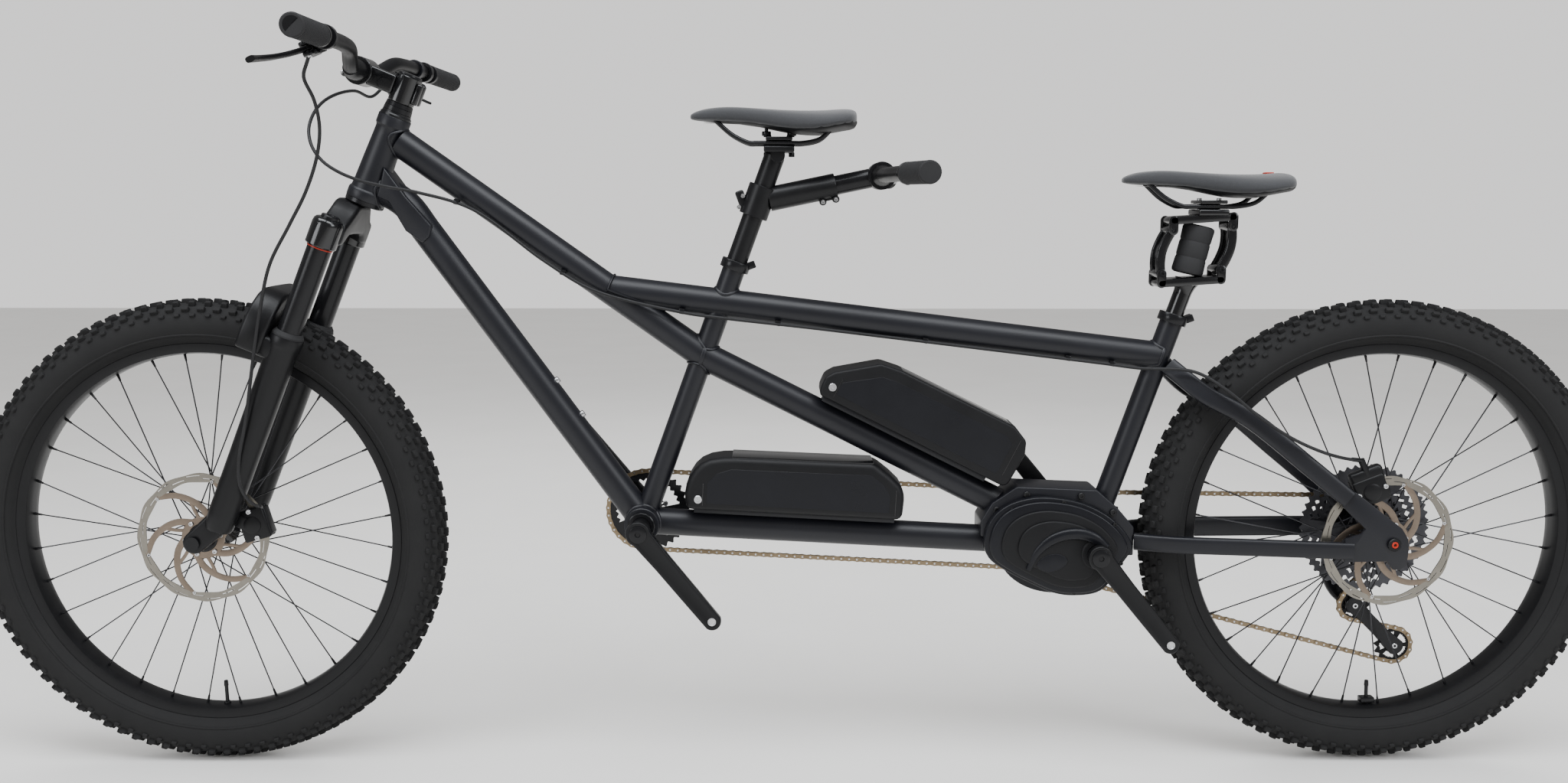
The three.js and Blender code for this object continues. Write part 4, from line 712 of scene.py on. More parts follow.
def seat_stay(side):
    start = stoker_crank + stoker_up * 306
    route = [(start.x + 14, side * 17, start.z - 6), (start.x + 30, side * 30, start.z - 20),
             (start.x + 62, side * 47, start.z - 46), (stay_end.x - 150, side * 60, stay_end.z + 120),
             (stay_end.x - 60, side * 73, stay_end.z + 48.6), (stay_end.x, side * 77.3, stay_end.z)]
    return sweep(route, 14, 28, sides=32, square=0.6, step=14)


def dropout(side):
    ax, az = rear_axle.x, rear_axle.z
    high = stay_end + lean(51) * 14.5
    low = stay_end - lean(51) * 14.5
    outline = [(low.x, low.z), (high.x, high.z), (ax - 6, az + 38), (ax + 12, az + 24), (ax + 22, az + 8),
               (ax + 24, az - 8), (ax + 22, az - 34), (ax + 12, az - 40), (ax + 2, az - 40), (ax - 8, az - 27),
               (ax - 74, az - 28), (ax - 74, az + 8), (ax - 50, az + 16), (ax - 44, az + 24)]
    low_y, high_y = sorted((side * 74.3, side * 80.3))
    return plate(outline, low_y, high_y, 1.4)


rear_ends = joined(*[chain_stay(s) for s in (-1, 1)], *[dropout(s) for s in (-1, 1)])
piece("chain_stays_and_dropouts", rear_ends, "frame", "paint", ["chain_stays"])
bridge = block(stoker_crank + stoker_up * 306 + at(30, 0, -14), (14, 50, 20), -37, 4, 3)
piece("seat_stay_pair", joined(seat_stay(-1), seat_stay(1), bridge), "frame", "paint", ["seat_stays"])
axle_ends = both_sides(turned_across([(0, 80.5), (10, 80.5), (10, 84), (9, 85.2), (5.6, 85.2), (5.2, 84), (0, 84)],
                                     32, rear_axle.x, rear_axle.z))
piece("rear_axle_ends", axle_ends, "frame", "alloy")
axle_core = turned_across([(0, -83.9), (2, -83.9), (2.6, -86), (4.6, -86), (5, -85.4), (5, -83.9)], 32, rear_axle.x,
                          rear_axle.z)
piece("rear_axle_core", axle_core, "frame", "red")

# %% Weld beads
piece("weld_beads", joined(*WELDS), "frame", "paint", crease=60)

# %% [markdown]
# ## Motor
# A mid motor has a wide moulded cover on each side. The left cover steps up to a boss, and a raised ridge curls round
# to the crank. Each step is its own plate with a soft edge, because the parting lines show as fine shadows.

# %% Motor covers
rim_points = [(-171, 11), (-163, 46), (-138, 71), (-98, 84), (-54, 83), (-10, 72), (32, 46), (58, 8),
              (44, -20), (12, -63), (-32, -71), (-64, -66), (-96, -52), (-140, -29), (-163, -11)]


def motor_outline(scale_x, scale_z, shift=0.0, lift=0.0):
    return closed_curve([(sx + shift + scale_x * x, sz + lift + scale_z * z) for x, z in rim_points], 7)


core_ring = [(sx - 56 + 91.5 * math.cos(math.radians(a)), sz + 1 + 71.5 * math.sin(math.radians(a)))
             for a in range(0, 360, 5)]
casing = joined(
    plate(core_ring, -34, 34, 1),
    plate(motor_outline(0.998, 0.998), -50, -34.4, 3.2, 3),
    plate(motor_outline(0.93, 0.93, -4), -56, -49, 4, 3),
    plate(motor_outline(0.8, 0.85, 2), 34.4, 39.4, 1.6, 2),
)
piece("motor_casing", casing, "frame", "plastic_satin", ["motor"])
boss = joined(
    plate(motor_outline(0.78, 0.78, -12), -61, -55, 4, 3),
    plate(motor_outline(0.6, 0.6, -18), -65.5, -60, 3.5, 3),
    turned_across([(15.2, -68.5), (22, -68.5), (24, -66.5), (24, -60), (15.2, -60)], 48, sx, sz, closed=True),
)
piece("motor_boss_steps", boss, "frame", "plastic")
ridge = sweep([(sx - 104, -62, sz - 26), (sx - 90, -64, sz + 4), (sx - 64, -65.5, sz + 25), (sx - 34, -66.5, sz + 32),
               (sx - 6, -67, sz + 26), (sx + 12, -66, sz + 10)], 12, 17, sides=28, step=6,
               taper=lambda t: 0.45 + 1.1 * t * (1.5 - t))
lens = closed_curve([(sx - 92, sz - 18), (sx - 80, sz - 4), (sx - 58, sz), (sx - 44, sz - 10), (sx - 56, sz - 24),
                     (sx - 78, sz - 28)], 6)
piece("motor_cover_ridge", joined(ridge, plate(lens, -66.6, -64.8, 1.2, 3)), "frame", "plastic_satin")
cover_screws = [(at(sx + x * 0.93, -50, sz + z * 0.93), at(0, -1, 0)) for x, z in rim_points[::2]]
piece("motor_cover_screws", bolts(cover_screws, 3.4, 2.4), "frame", "alloy_sheen")
bracket_screws = [(at(x, side * 34, z), at(0, side, 0)) for side in (-1, 1)
                  for x, z in ((sx - 150, sz + 62), (sx - 104, sz + 86), (sx - 20, sz + 84), (sx + 30, sz + 58))]
piece("motor_bracket_screws", bolts(bracket_screws, 5.2, 4), "frame", "alloy_sheen")

# %% [markdown]
# ## Batteries
# Each pack is an extruded case with end caps. A recessed side panel, a seam at each cap and a lock at the front are
# the details that tell the eye it isn't a block. The edges are rounded generously, as mouldings are.

# %% Battery packs
def on_tube(origin, direction, up, outline):
    return [(origin + direction * u + up * v).xz[:] for u, v in outline]


def battery(name, body, node, origin, direction, up, outline, panel, seams, lock, band):
    case = plate(on_tube(origin, direction, up, outline), -36.8, 36.8, 11, 5)
    piece(name + "_case", case, body, "plastic", [node])
    panels = both_sides(plate(on_tube(origin, direction, up, panel), -37.0, -36.0, 0.45, 1))
    piece(name + "_side_panels", panels, body, "plastic_satin")
    strip = plate(on_tube(origin, direction, up, band), -31, 31, 0.8, 2)
    piece(name + "_top_band", strip, body, "gloss")
    rings = [block(origin + direction * u + up * v + at(0, side * 36.7, 0), (1.1, 0.7, length), angle, 0.2, 1)
             for u, v, length, angle in seams for side in (-1, 1)]
    piece(name + "_seams", joined(*rings), body, "gloss")
    spot = origin + direction * lock[0] + up * lock[1] + at(0, -36.6, 0)
    barrel = joined(
        placed(turned([(0, 0.4), (3.2, 0.4), (3.4, 1.4), (5.6, 1.4), (6.2, 0.8), (6.2, 0), (0, 0)], 32),
               aimed(spot, spot + at(0, -1, 0))),
        block(spot + at(0, -0.7, 0), (1.0, 0.9, 4.6), 20, 0.2, 1),
    )
    piece(name + "_key_lock", barrel, body, "bright")


upper_outline = [(186, 29.4), (502, 29.4), (508, 36), (510, 88), (502, 108), (476, 120.4), (280, 119), (248, 114.5),
                 (190, 71), (181, 58), (182, 40)]
battery("upper_battery_pack", "upper_battery", "upper_battery", main_joint, diagonal_down, diagonal_up, upper_outline,
        [(208, 42), (480, 42), (484, 46), (484, 94), (472, 102), (282, 101), (258, 97), (208, 62)],
        [(493, 76, 62, -26.7), (206, 52, 32, -26.7)], (198, 49),
        [(284, 117.6), (470, 118.6), (470, 120.7), (284, 119.4)])
lower_outline = [(66, 28.4), (402, 28.4), (404, 70), (396, 84), (380, 98), (354, 116.6), (140, 114.4), (120, 113),
                 (101, 109),
                 (87, 102), (77, 92), (70, 80), (66, 68), (64, 54)]
battery("lower_battery_pack", "lower_battery", "lower_battery", captain_crank, boom_back, boom_up, lower_outline,
        [(98, 40), (380, 40), (382, 66), (370, 84), (350, 98), (134, 96), (112, 88), (98, 72)],
        [(390, 56, 40, -3), (92, 54, 34, -3)], (85, 46),
        [(134, 112), (352, 114), (352, 117), (134, 114.9)])

# %% [markdown]
# ## Wheels
# A tyre is a round casing with rows of moulded knobs. The casing is spun from its section, and one knob of each
# row is a tapered block that is copied round the tyre, half a step out from its neighbour row, as treads are.

# %% Tyres
def knob(radius, across_at, size, height, tilt, sink=3.0):
    bm = bmesh.new()
    bmesh.ops.create_cube(bm, size=1)
    for v in bm.verts:
        flare = 1.0 if v.co.z > 0 else 1.22
        v.co = Vector((v.co.x * size[0] * flare, v.co.y * size[1] * flare, (v.co.z + 0.5) * (height + sink) - sink))
    rounded(bm, 0.8, 1)
    lean_out = Matrix.Rotation(math.radians(-tilt), 4, "X")
    return placed(bm, Matrix.Translation((0, across_at, radius)) @ lean_out)


def wheel_places(count, phase=0.0):
    return [Matrix.Rotation(2 * math.pi * (i + phase) / count, 4, "Y") for i in range(count)]


def tyre(flip):
    section = [(283.5, 13), (292, 16.4), (299, 18.6), (302, 22), (307, 27.5), (316, 32), (327, 34), (338, 32.8),
               (347, 28.6), (354, 22), (358.6, 13), (360.2, 5)]
    ring = section + [(r, -h) for r, h in section[::-1]]
    casing = placed(turned(ring, 160, closed=True), ACROSS)
    rows = []
    layout = [(360.6, 5.4, (9.6, 7.6), 5.8, 3, 0.0), (360.6, -5.4, (9.6, 7.6), 5.8, -3, 0.5),
              (358.0, 16.2, (8.6, 6.6), 5.6, 18, 0.28), (358.0, -16.2, (8.6, 6.6), 5.6, -18, 0.78),
              (350.4, 25.6, (10.4, 6.4), 5.6, 44, 0.0), (350.4, -25.6, (10.4, 6.4), 5.6, -44, 0.5),
              (342.6, 31.0, (7.5, 5.0), 3.4, 62, 0.5), (342.6, -31.0, (7.5, 5.0), 3.4, -62, 0.0)]
    for radius, side_at, size, height, tilt, phase in layout:
        rows.append(repeated(knob(radius, side_at, size, height, tilt), wheel_places(92, phase + flip)))
    for side in (1, -1):
        rib = turned([(311, 30.2), (311.6, 31.6), (313, 32.2), (314.4, 31.6), (315, 31.2)], 160, closed=True)
        rows.append(placed(rib, ACROSS @ Matrix.Diagonal((1, 1, side, 1))))
    return joined(casing, *rows)


for name, axle, flip in (("front", front_axle, 0.0), ("rear", rear_axle, 0.25)):
    piece(name + "_knobbly_tyre", tyre(flip), name + "_wheel", "tyre", [name + "_tyre"], Matrix.Translation(axle), 40)

# %% [markdown]
# The rim is a hollow box section. Thirty-two spokes run from two flanges to its bed in crossed pairs, so each leaves
# its flange nearly along the edge. A threaded nipple joins each one to the rim, and a valve sits between a pair.

# %% Rims
rim_section = [(299.4, 19.4), (298.6, 20), (291, 20), (285, 18.6), (282.6, 13), (281.8, 5), (281.8, -5), (282.6, -13),
               (285, -18.6), (291, -20), (298.6, -20), (299.4, -19.4), (299.4, -17.6), (294, -17), (292, -10),
               (292, 10), (294, 17), (299.4, 17.6)]


def spokes(left, right, left_radius, right_radius):
    wires, nipples = [], []
    for i in range(32):
        on_left = i % 2 == 0
        around = 360 / 32 * (i + 0.5)
        pull = 67.5 if (i // 2) % 2 == 0 else -67.5
        flange_radius = left_radius if on_left else right_radius
        flange_y = (left if on_left else right) + (1.6 if pull > 0 else -1.6)
        rim_point = lean(around) * 283 + at(0, -3 if on_left else 3, 0)
        foot = lean(around - pull) * flange_radius + at(0, flange_y, 0)
        wires.append(rod(foot, rim_point, 1.05, sides=8))
        wires.append(rod(foot - (rim_point - foot).normalized() * 2.2, foot + (rim_point - foot).normalized(), 2.0,
                         sides=10, bevel=0.5))
        inward = (foot - rim_point).normalized()
        nipples.append(rod(rim_point + inward * 12, rim_point - inward * 1, 1.5, 2.3, sides=10, bevel=0.3))
    return joined(*wires), joined(*nipples)


def hub(half, left, right, left_radius, right_radius, freehub):
    def flange(y, r):
        return [(11.5, y - 7), (13, y - 4.4), (r - 3, y - 2.4), (r + 2.4, y - 1.9), (r + 3, y - 1.2),
                (r + 3, y + 1.2),
                (r + 2.4, y + 1.9), (r - 3, y + 2.4), (13, y + 4.4), (11.5, y + 7)]
    end = (freehub - 1.4) if freehub else half
    profile = [(7.8, -half + 1), (12.6, -half + 1), (13, -half + 1.8), (13, -half + 8)]
    profile += flange(left, left_radius) + flange(right, right_radius)
    profile += [(13, min(right + 9, end - 6)), (13, end - 1.4), (12.4, end - 0.6), (7.8, end - 0.6)]
    return placed(turned(profile, 64, closed=True), ACROSS)


def valve(angle, block_size):
    outward = lean(angle)
    base, tip = outward * 282.5, outward * 244
    parts = [rod(base, tip + outward * 8, 2.9, sides=16), rod(tip + outward * 9, tip, 3.6, 3.0, sides=16, bevel=0.6),
             rod(base, base - outward * 4, 5.2, sides=20, bevel=0.6)]
    if block_size:
        parts.append(block(base - outward * 7, block_size, angle - 90, 1.6))
    return joined(*parts)


for name, axle, sizes in (("front", front_axle, (55, -28.5, 31.5, 26, 26, 0)),
                          ("rear", rear_axle, (74, -37, 18.5, 27, 27, 24))):
    place = Matrix.Translation(axle)
    body = name + "_wheel"
    piece(name + "_rim", placed(turned(rim_section, 144, closed=True), ACROSS), body, "alloy", [body], place)
    half, left, right, left_radius, right_radius, freehub = sizes
    wires, nipples = spokes(left, right, left_radius, right_radius)
    piece(name + "_spokes", wires, body, "spoke", place=place)
    piece(name + "_nipples", nipples, body, "alloy_sheen", place=place)
    piece(name + "_hub", hub(half, left, right, left_radius, right_radius, freehub), body, "gloss", place=place)
    piece(name + "_valve", valve(-88 if freehub else -89, (22, 15, 9) if freehub else None), body, "alloy_sheen",
          place=place)

# %% [markdown]
# A brake rotor is cut from sheet: a wavy slotted ring on six arms that trail the way the wheel turns. The ring is
# made of circles that are bridged, the slots are faces taken out of it, and solidify gives the sheet its thickness.

# %% Rotors
def rotor(y):
    bm = bmesh.new()
    count = 144
    rings = []
    for radius, wave in ((87.8, -0.8), (92.4, 0), (93.5, 0), (96.8, 0), (97.9, 0), (100.6, 1.1)):
        ring = bmesh.ops.create_circle(bm, cap_ends=False, radius=radius, segments=count)["verts"]
        for v in ring:
            swell = 1 + wave * math.cos(12 * math.atan2(v.co.y, v.co.x)) / radius
            v.co = v.co * swell
        known = set(ring)
        rings.append([e for e in bm.edges if e.verts[0] in known and e.verts[1] in known])
    for inner, outer in zip(rings, rings[1:]):
        bmesh.ops.bridge_loops(bm, edges=inner + outer)

    def slotted(face):
        middle = face.calc_center_median()
        step = int(math.degrees(math.atan2(middle.y, middle.x)) % 360 // (360 / count)) % 12
        radius = math.hypot(middle.x, middle.y)
        return (92.4 < radius < 93.5 and 1 <= step <= 5) or (96.8 < radius < 97.9 and 7 <= step <= 11)

    bmesh.ops.delete(bm, geom=[f for f in bm.faces if slotted(f)], context="FACES_ONLY")
    bmesh.ops.recalc_face_normals(bm, faces=bm.faces)
    bmesh.ops.solidify(bm, geom=bm.faces[:], thickness=1.8)
    middle_z = sum(v.co.z for v in bm.verts) / len(bm.verts)
    bmesh.ops.translate(bm, vec=(0, 0, -middle_z), verts=bm.verts)
    bmesh.ops.recalc_face_normals(bm, faces=bm.faces)
    return placed(bm, across(0, 0, y))


def rotor_arms(y):
    arms = []
    for i in range(6):
        start = 131 + 60 * i
        route = [lean(start + turn) * radius for radius, turn in ((29, -6), (44, 15), (59, 32), (76, 49), (92.5, 66))]
        arms.append(sweep([p + at(0, y, 0) for p in route], 1.9, 9.5, sides=12, square=0.45, step=6,
                          taper=lambda t: 1.15 - 0.2 * t))
        strut = [lean(start + turn) * radius for radius, turn in ((30, 27), (42, 33), (60, 35))]
        arms.append(sweep([p + at(0, y, 0) for p in strut], 1.7, 5.5, sides=12, square=0.45, step=6))
    carrier = [(22.6, -1.4), (32.5, -1.4), (33, -0.9), (33, 0.9), (32.5, 1.4), (22.6, 1.4)]
    arms.append(placed(turned(carrier, 64, closed=True), across(0, 0, y)))
    return joined(*arms)


for name, axle, y in (("front", front_axle, -40), ("rear", rear_axle, -58)):
    place = Matrix.Translation(axle)
    piece(name + "_rotor_ring", rotor(y), name + "_wheel", "rotor", [name + "_rotor"], place)
    piece(name + "_rotor_arms", rotor_arms(y), name + "_wheel", "rotor_arm", place=place)
    rivets = bolts([(lean(60 * i + 198) * 89.5 + at(0, y - 0.9, 0), at(0, -1, 0)) for i in range(6)], 2.6, 1.2)
    mounts = bolts([(lean(60 * i + 8) * 27.6 + at(0, y - 1.3, 0), at(0, -1, 0)) for i in range(6)], 3.6, 2.2)
    piece(name + "_rotor_rivets", joined(rivets, mounts), name + "_wheel", "bright", place=place)
    lock = [(8.2, -3.2), (20, -3.2), (22.2, -1.8), (22.2, 2.4), (8.2, 2.4)]
    piece(name + "_rotor_hub_face", placed(turned(lock, 48, closed=True), across(0, 0, y)), name + "_wheel",
          "alloy_sheen", place=place)

# %% [markdown]
# ## Drivetrain
# Gear discs are plates whose outline rises and falls at every tooth. Chains are the shape people notice when it is
# faked, so every link is real: outer plates, inner plates and rollers are laid along the loop of each chain.

# %% Toothed discs
def toothed(teeth, pitch_radius, low, high, bore, windows=0, window_radii=(0, 0), phase=0.0, depth=5.2):
    outline = []
    for i in range(teeth):
        for share, radius in ((-0.5, pitch_radius - depth + 1.9), (-0.24, pitch_radius - 0.4),
                              (-0.09, pitch_radius + 2.4), (0.09, pitch_radius + 2.4), (0.24, pitch_radius - 0.4)):
            outline.append((radius, 360 * (i + share + phase) / teeth))
    bm = bmesh.new()
    outer = [bm.verts.new(lean(turn) * radius) for radius, turn in outline]
    inner = [bm.verts.new(lean(turn) * bore) for radius, turn in outline]
    rims = [[bm.edges.new((ring[i - 1], ring[i])) for i in range(len(ring))] for ring in (inner, outer)]
    bmesh.ops.bridge_loops(bm, edges=rims[0] + rims[1])
    if windows:
        cuts = 6
        radial = [e for e in bm.edges if len(e.link_faces) == 2]
        bmesh.ops.subdivide_edges(bm, edges=radial, cuts=cuts, use_grid_fill=True)
        inside = []
        for face in bm.faces:
            middle = face.calc_center_median()
            turn = math.degrees(math.atan2(middle.z, middle.x)) / 360 * windows % 1
            radius = math.hypot(middle.x, middle.z)
            if window_radii[0] < radius < window_radii[1] and 0.16 < turn < 0.84:
                inside.append(face)
        bmesh.ops.delete(bm, geom=inside, context="FACES")
    bmesh.ops.recalc_face_normals(bm, faces=bm.faces)
    bmesh.ops.solidify(bm, geom=bm.faces[:], thickness=high - low)
    lowest = min(v.co.y for v in bm.verts)
    bmesh.ops.translate(bm, vec=(0, low - lowest, 0), verts=bm.verts)
    bmesh.ops.recalc_face_normals(bm, faces=bm.faces)
    return bm


# %% [markdown]
# A chain's loop is laid round its two discs: an arc, a straight run, an arc and a run back. Its rollers sit one
# pitch apart, which fixes where each disc's teeth must point, so the discs take their phase from the chain.

# %% Chain loop
chain_pitch = 12.7


def tangent_points(center_a, radius_a, center_b, radius_b, upper):
    """Where an outer tangent touches two circles that are given as (x, z) vectors; upper picks the side."""
    gap_vector = center_b - center_a
    base = math.atan2(gap_vector.y, gap_vector.x)
    swing = math.acos((radius_a - radius_b) / gap_vector.length)
    turn = base + (swing if upper else -swing)
    outward = Vector((math.cos(turn), math.sin(turn)))
    return center_a + outward * radius_a, center_b + outward * radius_b


def arc(center, radius, start, end, clockwise, step=2.0):
    a = math.atan2(start.y - center.y, start.x - center.x)
    b = math.atan2(end.y - center.y, end.x - center.x)
    if clockwise:
        while b > a:
            b -= 2 * math.pi
    else:
        while b < a:
            b += 2 * math.pi
    count = max(2, int(abs(b - a) * radius / step))
    return [center + Vector((math.cos(a + (b - a) * i / count), math.sin(a + (b - a) * i / count))) * radius
            for i in range(count + 1)]


def walk(loop, pitch):
    """Points one pitch apart along a closed loop, with the pitch stretched a hair to come out even."""
    closed = loop + [loop[0]]
    lengths = [(b - a).length for a, b in zip(closed, closed[1:])]
    whole = sum(lengths)
    count = 2 * round(whole / pitch / 2)
    spots, done, index = [], 0.0, 0
    for i in range(count):
        target = whole * i / count
        while done + lengths[index] < target:
            done += lengths[index]
            index += 1
        share = (target - done) / lengths[index]
        spots.append(closed[index].lerp(closed[index + 1], share))
    return spots


def chain_parts(spots, y, width):
    """Plates and rollers for every link; outer links take the even places."""
    def link_plate(offset, thick):
        bm = bmesh.new()
        line = [*arc_points(0, 0, 3.9, 90, 271, 36), (chain_pitch / 2, -3.0),
                *arc_points(chain_pitch, 0, 3.9, -90, 91, 36), (chain_pitch / 2, 3.0)]
        face = bm.faces.new([bm.verts.new((x, offset - thick / 2, z)) for x, z in line])
        grown = bmesh.ops.extrude_face_region(bm, geom=[face])["geom"]
        bmesh.ops.translate(bm, vec=(0, thick, 0), verts=only(grown, bmesh.types.BMVert))
        bmesh.ops.recalc_face_normals(bm, faces=bm.faces)
        return bm

    outer_places, inner_places, pin_places = [], [], []
    for i, spot in enumerate(spots):
        after = spots[(i + 1) % len(spots)]
        run = after - spot
        turn = Matrix.Rotation(-math.atan2(run.y, run.x), 4, "Y")
        place = Matrix.Translation((spot.x, y, spot.y)) @ turn @ Matrix.Diagonal((run.length / chain_pitch, 1, 1, 1))
        (outer_places if i % 2 == 0 else inner_places).append(place)
        pin_places.append(Matrix.Translation((spot.x, y, spot.y)))
    outer_at = width / 2 - 0.45
    inner_at = width / 2 - 1.3
    outer = repeated(joined(link_plate(outer_at, 0.8), link_plate(-outer_at, 0.8)), outer_places)
    inner = repeated(joined(link_plate(inner_at, 0.8), link_plate(-inner_at, 0.8)), inner_places)
    rollers = repeated(rod(at(0, 0.9 - width / 2, 0), at(0, width / 2 - 0.9, 0), 2.9, sides=10), pin_places)
    pins = repeated(rod(at(0, -width / 2, 0), at(0, width / 2, 0), 1.5, sides=8), pin_places)
    return joined(outer, inner), joined(rollers, pins)


def phase_for(spots, center, radius, teeth):
    """The turn that sets a disc's tooth gaps under the rollers that rest on it."""
    near = [p for p in spots if abs((p - center).length - radius) < 1.2]
    middle = near[len(near) // 2] - center
    return math.degrees(math.atan2(middle.y, middle.x)) / 360 * teeth - 0.5


flat = [Vector((p.x, p.z)) for p in (captain_crank, stoker_crank, rear_axle)]
timing_radius, drive_radius, sprocket_radius = 64.79, 72.86, 48.65
a_up, b_up = tangent_points(flat[0], timing_radius, flat[1], timing_radius, True)
a_low, b_low = tangent_points(flat[0], timing_radius, flat[1], timing_radius, False)
timing_loop = arc(flat[0], timing_radius, a_low, a_up, True) + arc(flat[1], timing_radius, b_up, b_low, True)
timing_spots = walk(timing_loop, chain_pitch)
plates, rollers = chain_parts(timing_spots, 72, 5)
piece("timing_chain_plates", plates, "frame", "chain", ["timing_chain"], crease=25)
piece("timing_chain_rollers", rollers, "frame", "bright", crease=40)
timing_front_phase = phase_for(timing_spots, flat[0], timing_radius, 32)
timing_rear_phase = phase_for(timing_spots, flat[1], timing_radius, 32)

# %% [markdown]
# The drive chain runs over the drive ring and the cassette, then in an S round the two small jockey wheels.

# %% Drive chain
upper_jockey, lower_jockey = Vector((910, 235)), Vector((978, 168))
jockey_radius, tension_radius = 24.53, 28.54


def cross_tangent(center_a, radius_a, center_b, radius_b, turn_sign):
    gap_vector = center_b - center_a
    base = math.atan2(gap_vector.y, gap_vector.x)
    swing = math.acos((radius_a + radius_b) / gap_vector.length) * turn_sign
    outward = Vector((math.cos(base + swing), math.sin(base + swing)))
    return center_a + outward * radius_a, center_b - outward * radius_b


ring_up, cog_up = tangent_points(flat[1], drive_radius, flat[2], sprocket_radius, True)
cog_low, jockey_in = cross_tangent(flat[2], sprocket_radius, upper_jockey, jockey_radius, 1)
jockey_out, tension_in = cross_tangent(upper_jockey, jockey_radius, lower_jockey, tension_radius, -1)
ring_low, tension_out = tangent_points(flat[1], drive_radius, lower_jockey, tension_radius, False)
drive_loop = (arc(flat[1], drive_radius, ring_low, ring_up, True)
              + arc(flat[2], sprocket_radius, cog_up, cog_low, True)
              + arc(upper_jockey, jockey_radius, jockey_in, jockey_out, False)
              + arc(lower_jockey, tension_radius, tension_in, tension_out, True))
drive_spots = walk(drive_loop, chain_pitch)
plates, rollers = chain_parts(drive_spots, 44.5, 5)
piece("drive_chain_plates", plates, "frame", "chain", ["drive_chain"], crease=25)
piece("drive_chain_rollers", rollers, "frame", "bright", crease=40)

# %% [markdown]
# ## Cranks
# A crank arm is a forged bar that narrows to the pedal eye. A milled channel runs down its face and a bright
# threaded insert fills the eye. No pedals are fitted.

# %% Crank arms
crank_length = 175


def crank_arm(center, slope_degrees, side):
    way = lean(slope_degrees)
    turn = Matrix.Rotation(-math.radians(slope_degrees), 4, "Y")
    outline = arc_points(0, 0, 19, 60, 301, 15)
    outline += [(60, -14.6), (120, -14.2)]
    outline += arc_points(crank_length, 0, 14, -75, 76, 15)
    outline += [(120, 14.2), (60, 14.6)]
    low, high = sorted((side * 80, side * 94))
    body = plate(outline, low, high, 2.6, 3)
    outer_face = [f for f in body.faces if f.normal.y * side > 0.99 and len(f.verts) > 12]
    if outer_face:
        bmesh.ops.inset_region(body, faces=outer_face, thickness=3.4, use_even_offset=True)
        bmesh.ops.translate(body, vec=(0, -side * 0.9, 0), verts=outer_face[0].verts)
    placed(body, Matrix.Translation((center.x, 0, center.z)) @ turn)
    tip = center + way * crank_length
    insert = placed(turned([(0, -6.4), (4.6, -6.6), (5.2, -7.5), (6.2, -7.5), (6.2, 7.5), (5.2, 7.5), (4.6, 6.6),
                            (0, 6.4)], 32),
                    across(tip.x, tip.z, side * 87))
    facing = ACROSS if side > 0 else ACROSS @ Matrix.Rotation(math.pi, 4, "X")
    cap = placed(turned([(0, -0.6), (3.4, -0.6), (4.2, 1.6), (11, 1.6), (13.4, 0.6), (13.6, -2), (0, -2)], 36),
                 Matrix.Translation((center.x, side * 94, center.z)) @ facing)
    return body, insert, cap


for name, center, body in (("front", captain_crank, "front_cranks"), ("rear", stoker_crank, "rear_cranks")):
    for side, word, slope_degrees in ((-1, "left", -50.8), (1, "right", 129.2)):
        arm, insert, cap = crank_arm(center, slope_degrees, side)
        node = name + "_crank_" + word
        if side < 0:
            arm = joined(arm, rod(center + at(0, -80, 0), center + at(0, 83, 0), 13.9, sides=48))
        piece(node + "_arm", arm, body, "alloy", [node])
        piece(node + "_insert", insert, body, "bright")
        piece(node + "_cap", cap, body, "alloy_sheen")

# %% Chainrings
def ring_on(center, teeth, pitch_radius, y, phase, bore=20, holes=5):
    disc = toothed(teeth, pitch_radius, y - 1.1, y + 1.1, bore, holes, (bore + 11, pitch_radius - 13), phase)
    return placed(disc, Matrix.Translation((center.x, 0, center.z)))


timing_front = joined(ring_on(captain_crank, 32, timing_radius, 72, timing_front_phase, 14.4),
                      turned_across([(14.3, 66), (22, 66), (23, 67), (23, 78.5), (22, 79.4), (14.3, 79.4)], 48,
                                    captain_crank.x, captain_crank.z, closed=True))
piece("front_timing_ring", timing_front, "front_cranks", "alloy_sheen", ["front_chainring"])
drive_phase = phase_for(drive_spots, flat[1], drive_radius, 36)
rear_rings = joined(ring_on(stoker_crank, 32, timing_radius, 72, timing_rear_phase, 14.4),
                    ring_on(stoker_crank, 36, drive_radius, 44.5, drive_phase, 14.4),
                    turned_across([(14.3, 42), (19, 42), (20, 43), (20, 78.4), (19, 79.4), (14.3, 79.4)], 48,
                                  stoker_crank.x, stoker_crank.z, closed=True))
piece("rear_timing_and_drive_rings", rear_rings, "rear_cranks", "alloy_sheen", ["rear_chainrings"])
ring_bolts = [(stoker_crank + lean(72 * i + 20) * 30 + at(0, 73.1, 0), at(0, 1, 0)) for i in range(5)]
piece("rear_ring_bolts", bolts(ring_bolts, 4, 1.6), "rear_cranks", "bright")
ring_bolts = [(captain_crank + lean(72 * i + 20) * 30 + at(0, side * 1.1 + 72, 0), at(0, side, 0))
              for side in (-1, 1) for i in range(5)]
piece("front_ring_bolts", bolts(ring_bolts, 4, 1.6), "front_cranks", "bright")

# %% [markdown]
# Twelve cogs stand in a cone on the freehub. The larger ones are open spiders so that the stack isn't a solid lump.

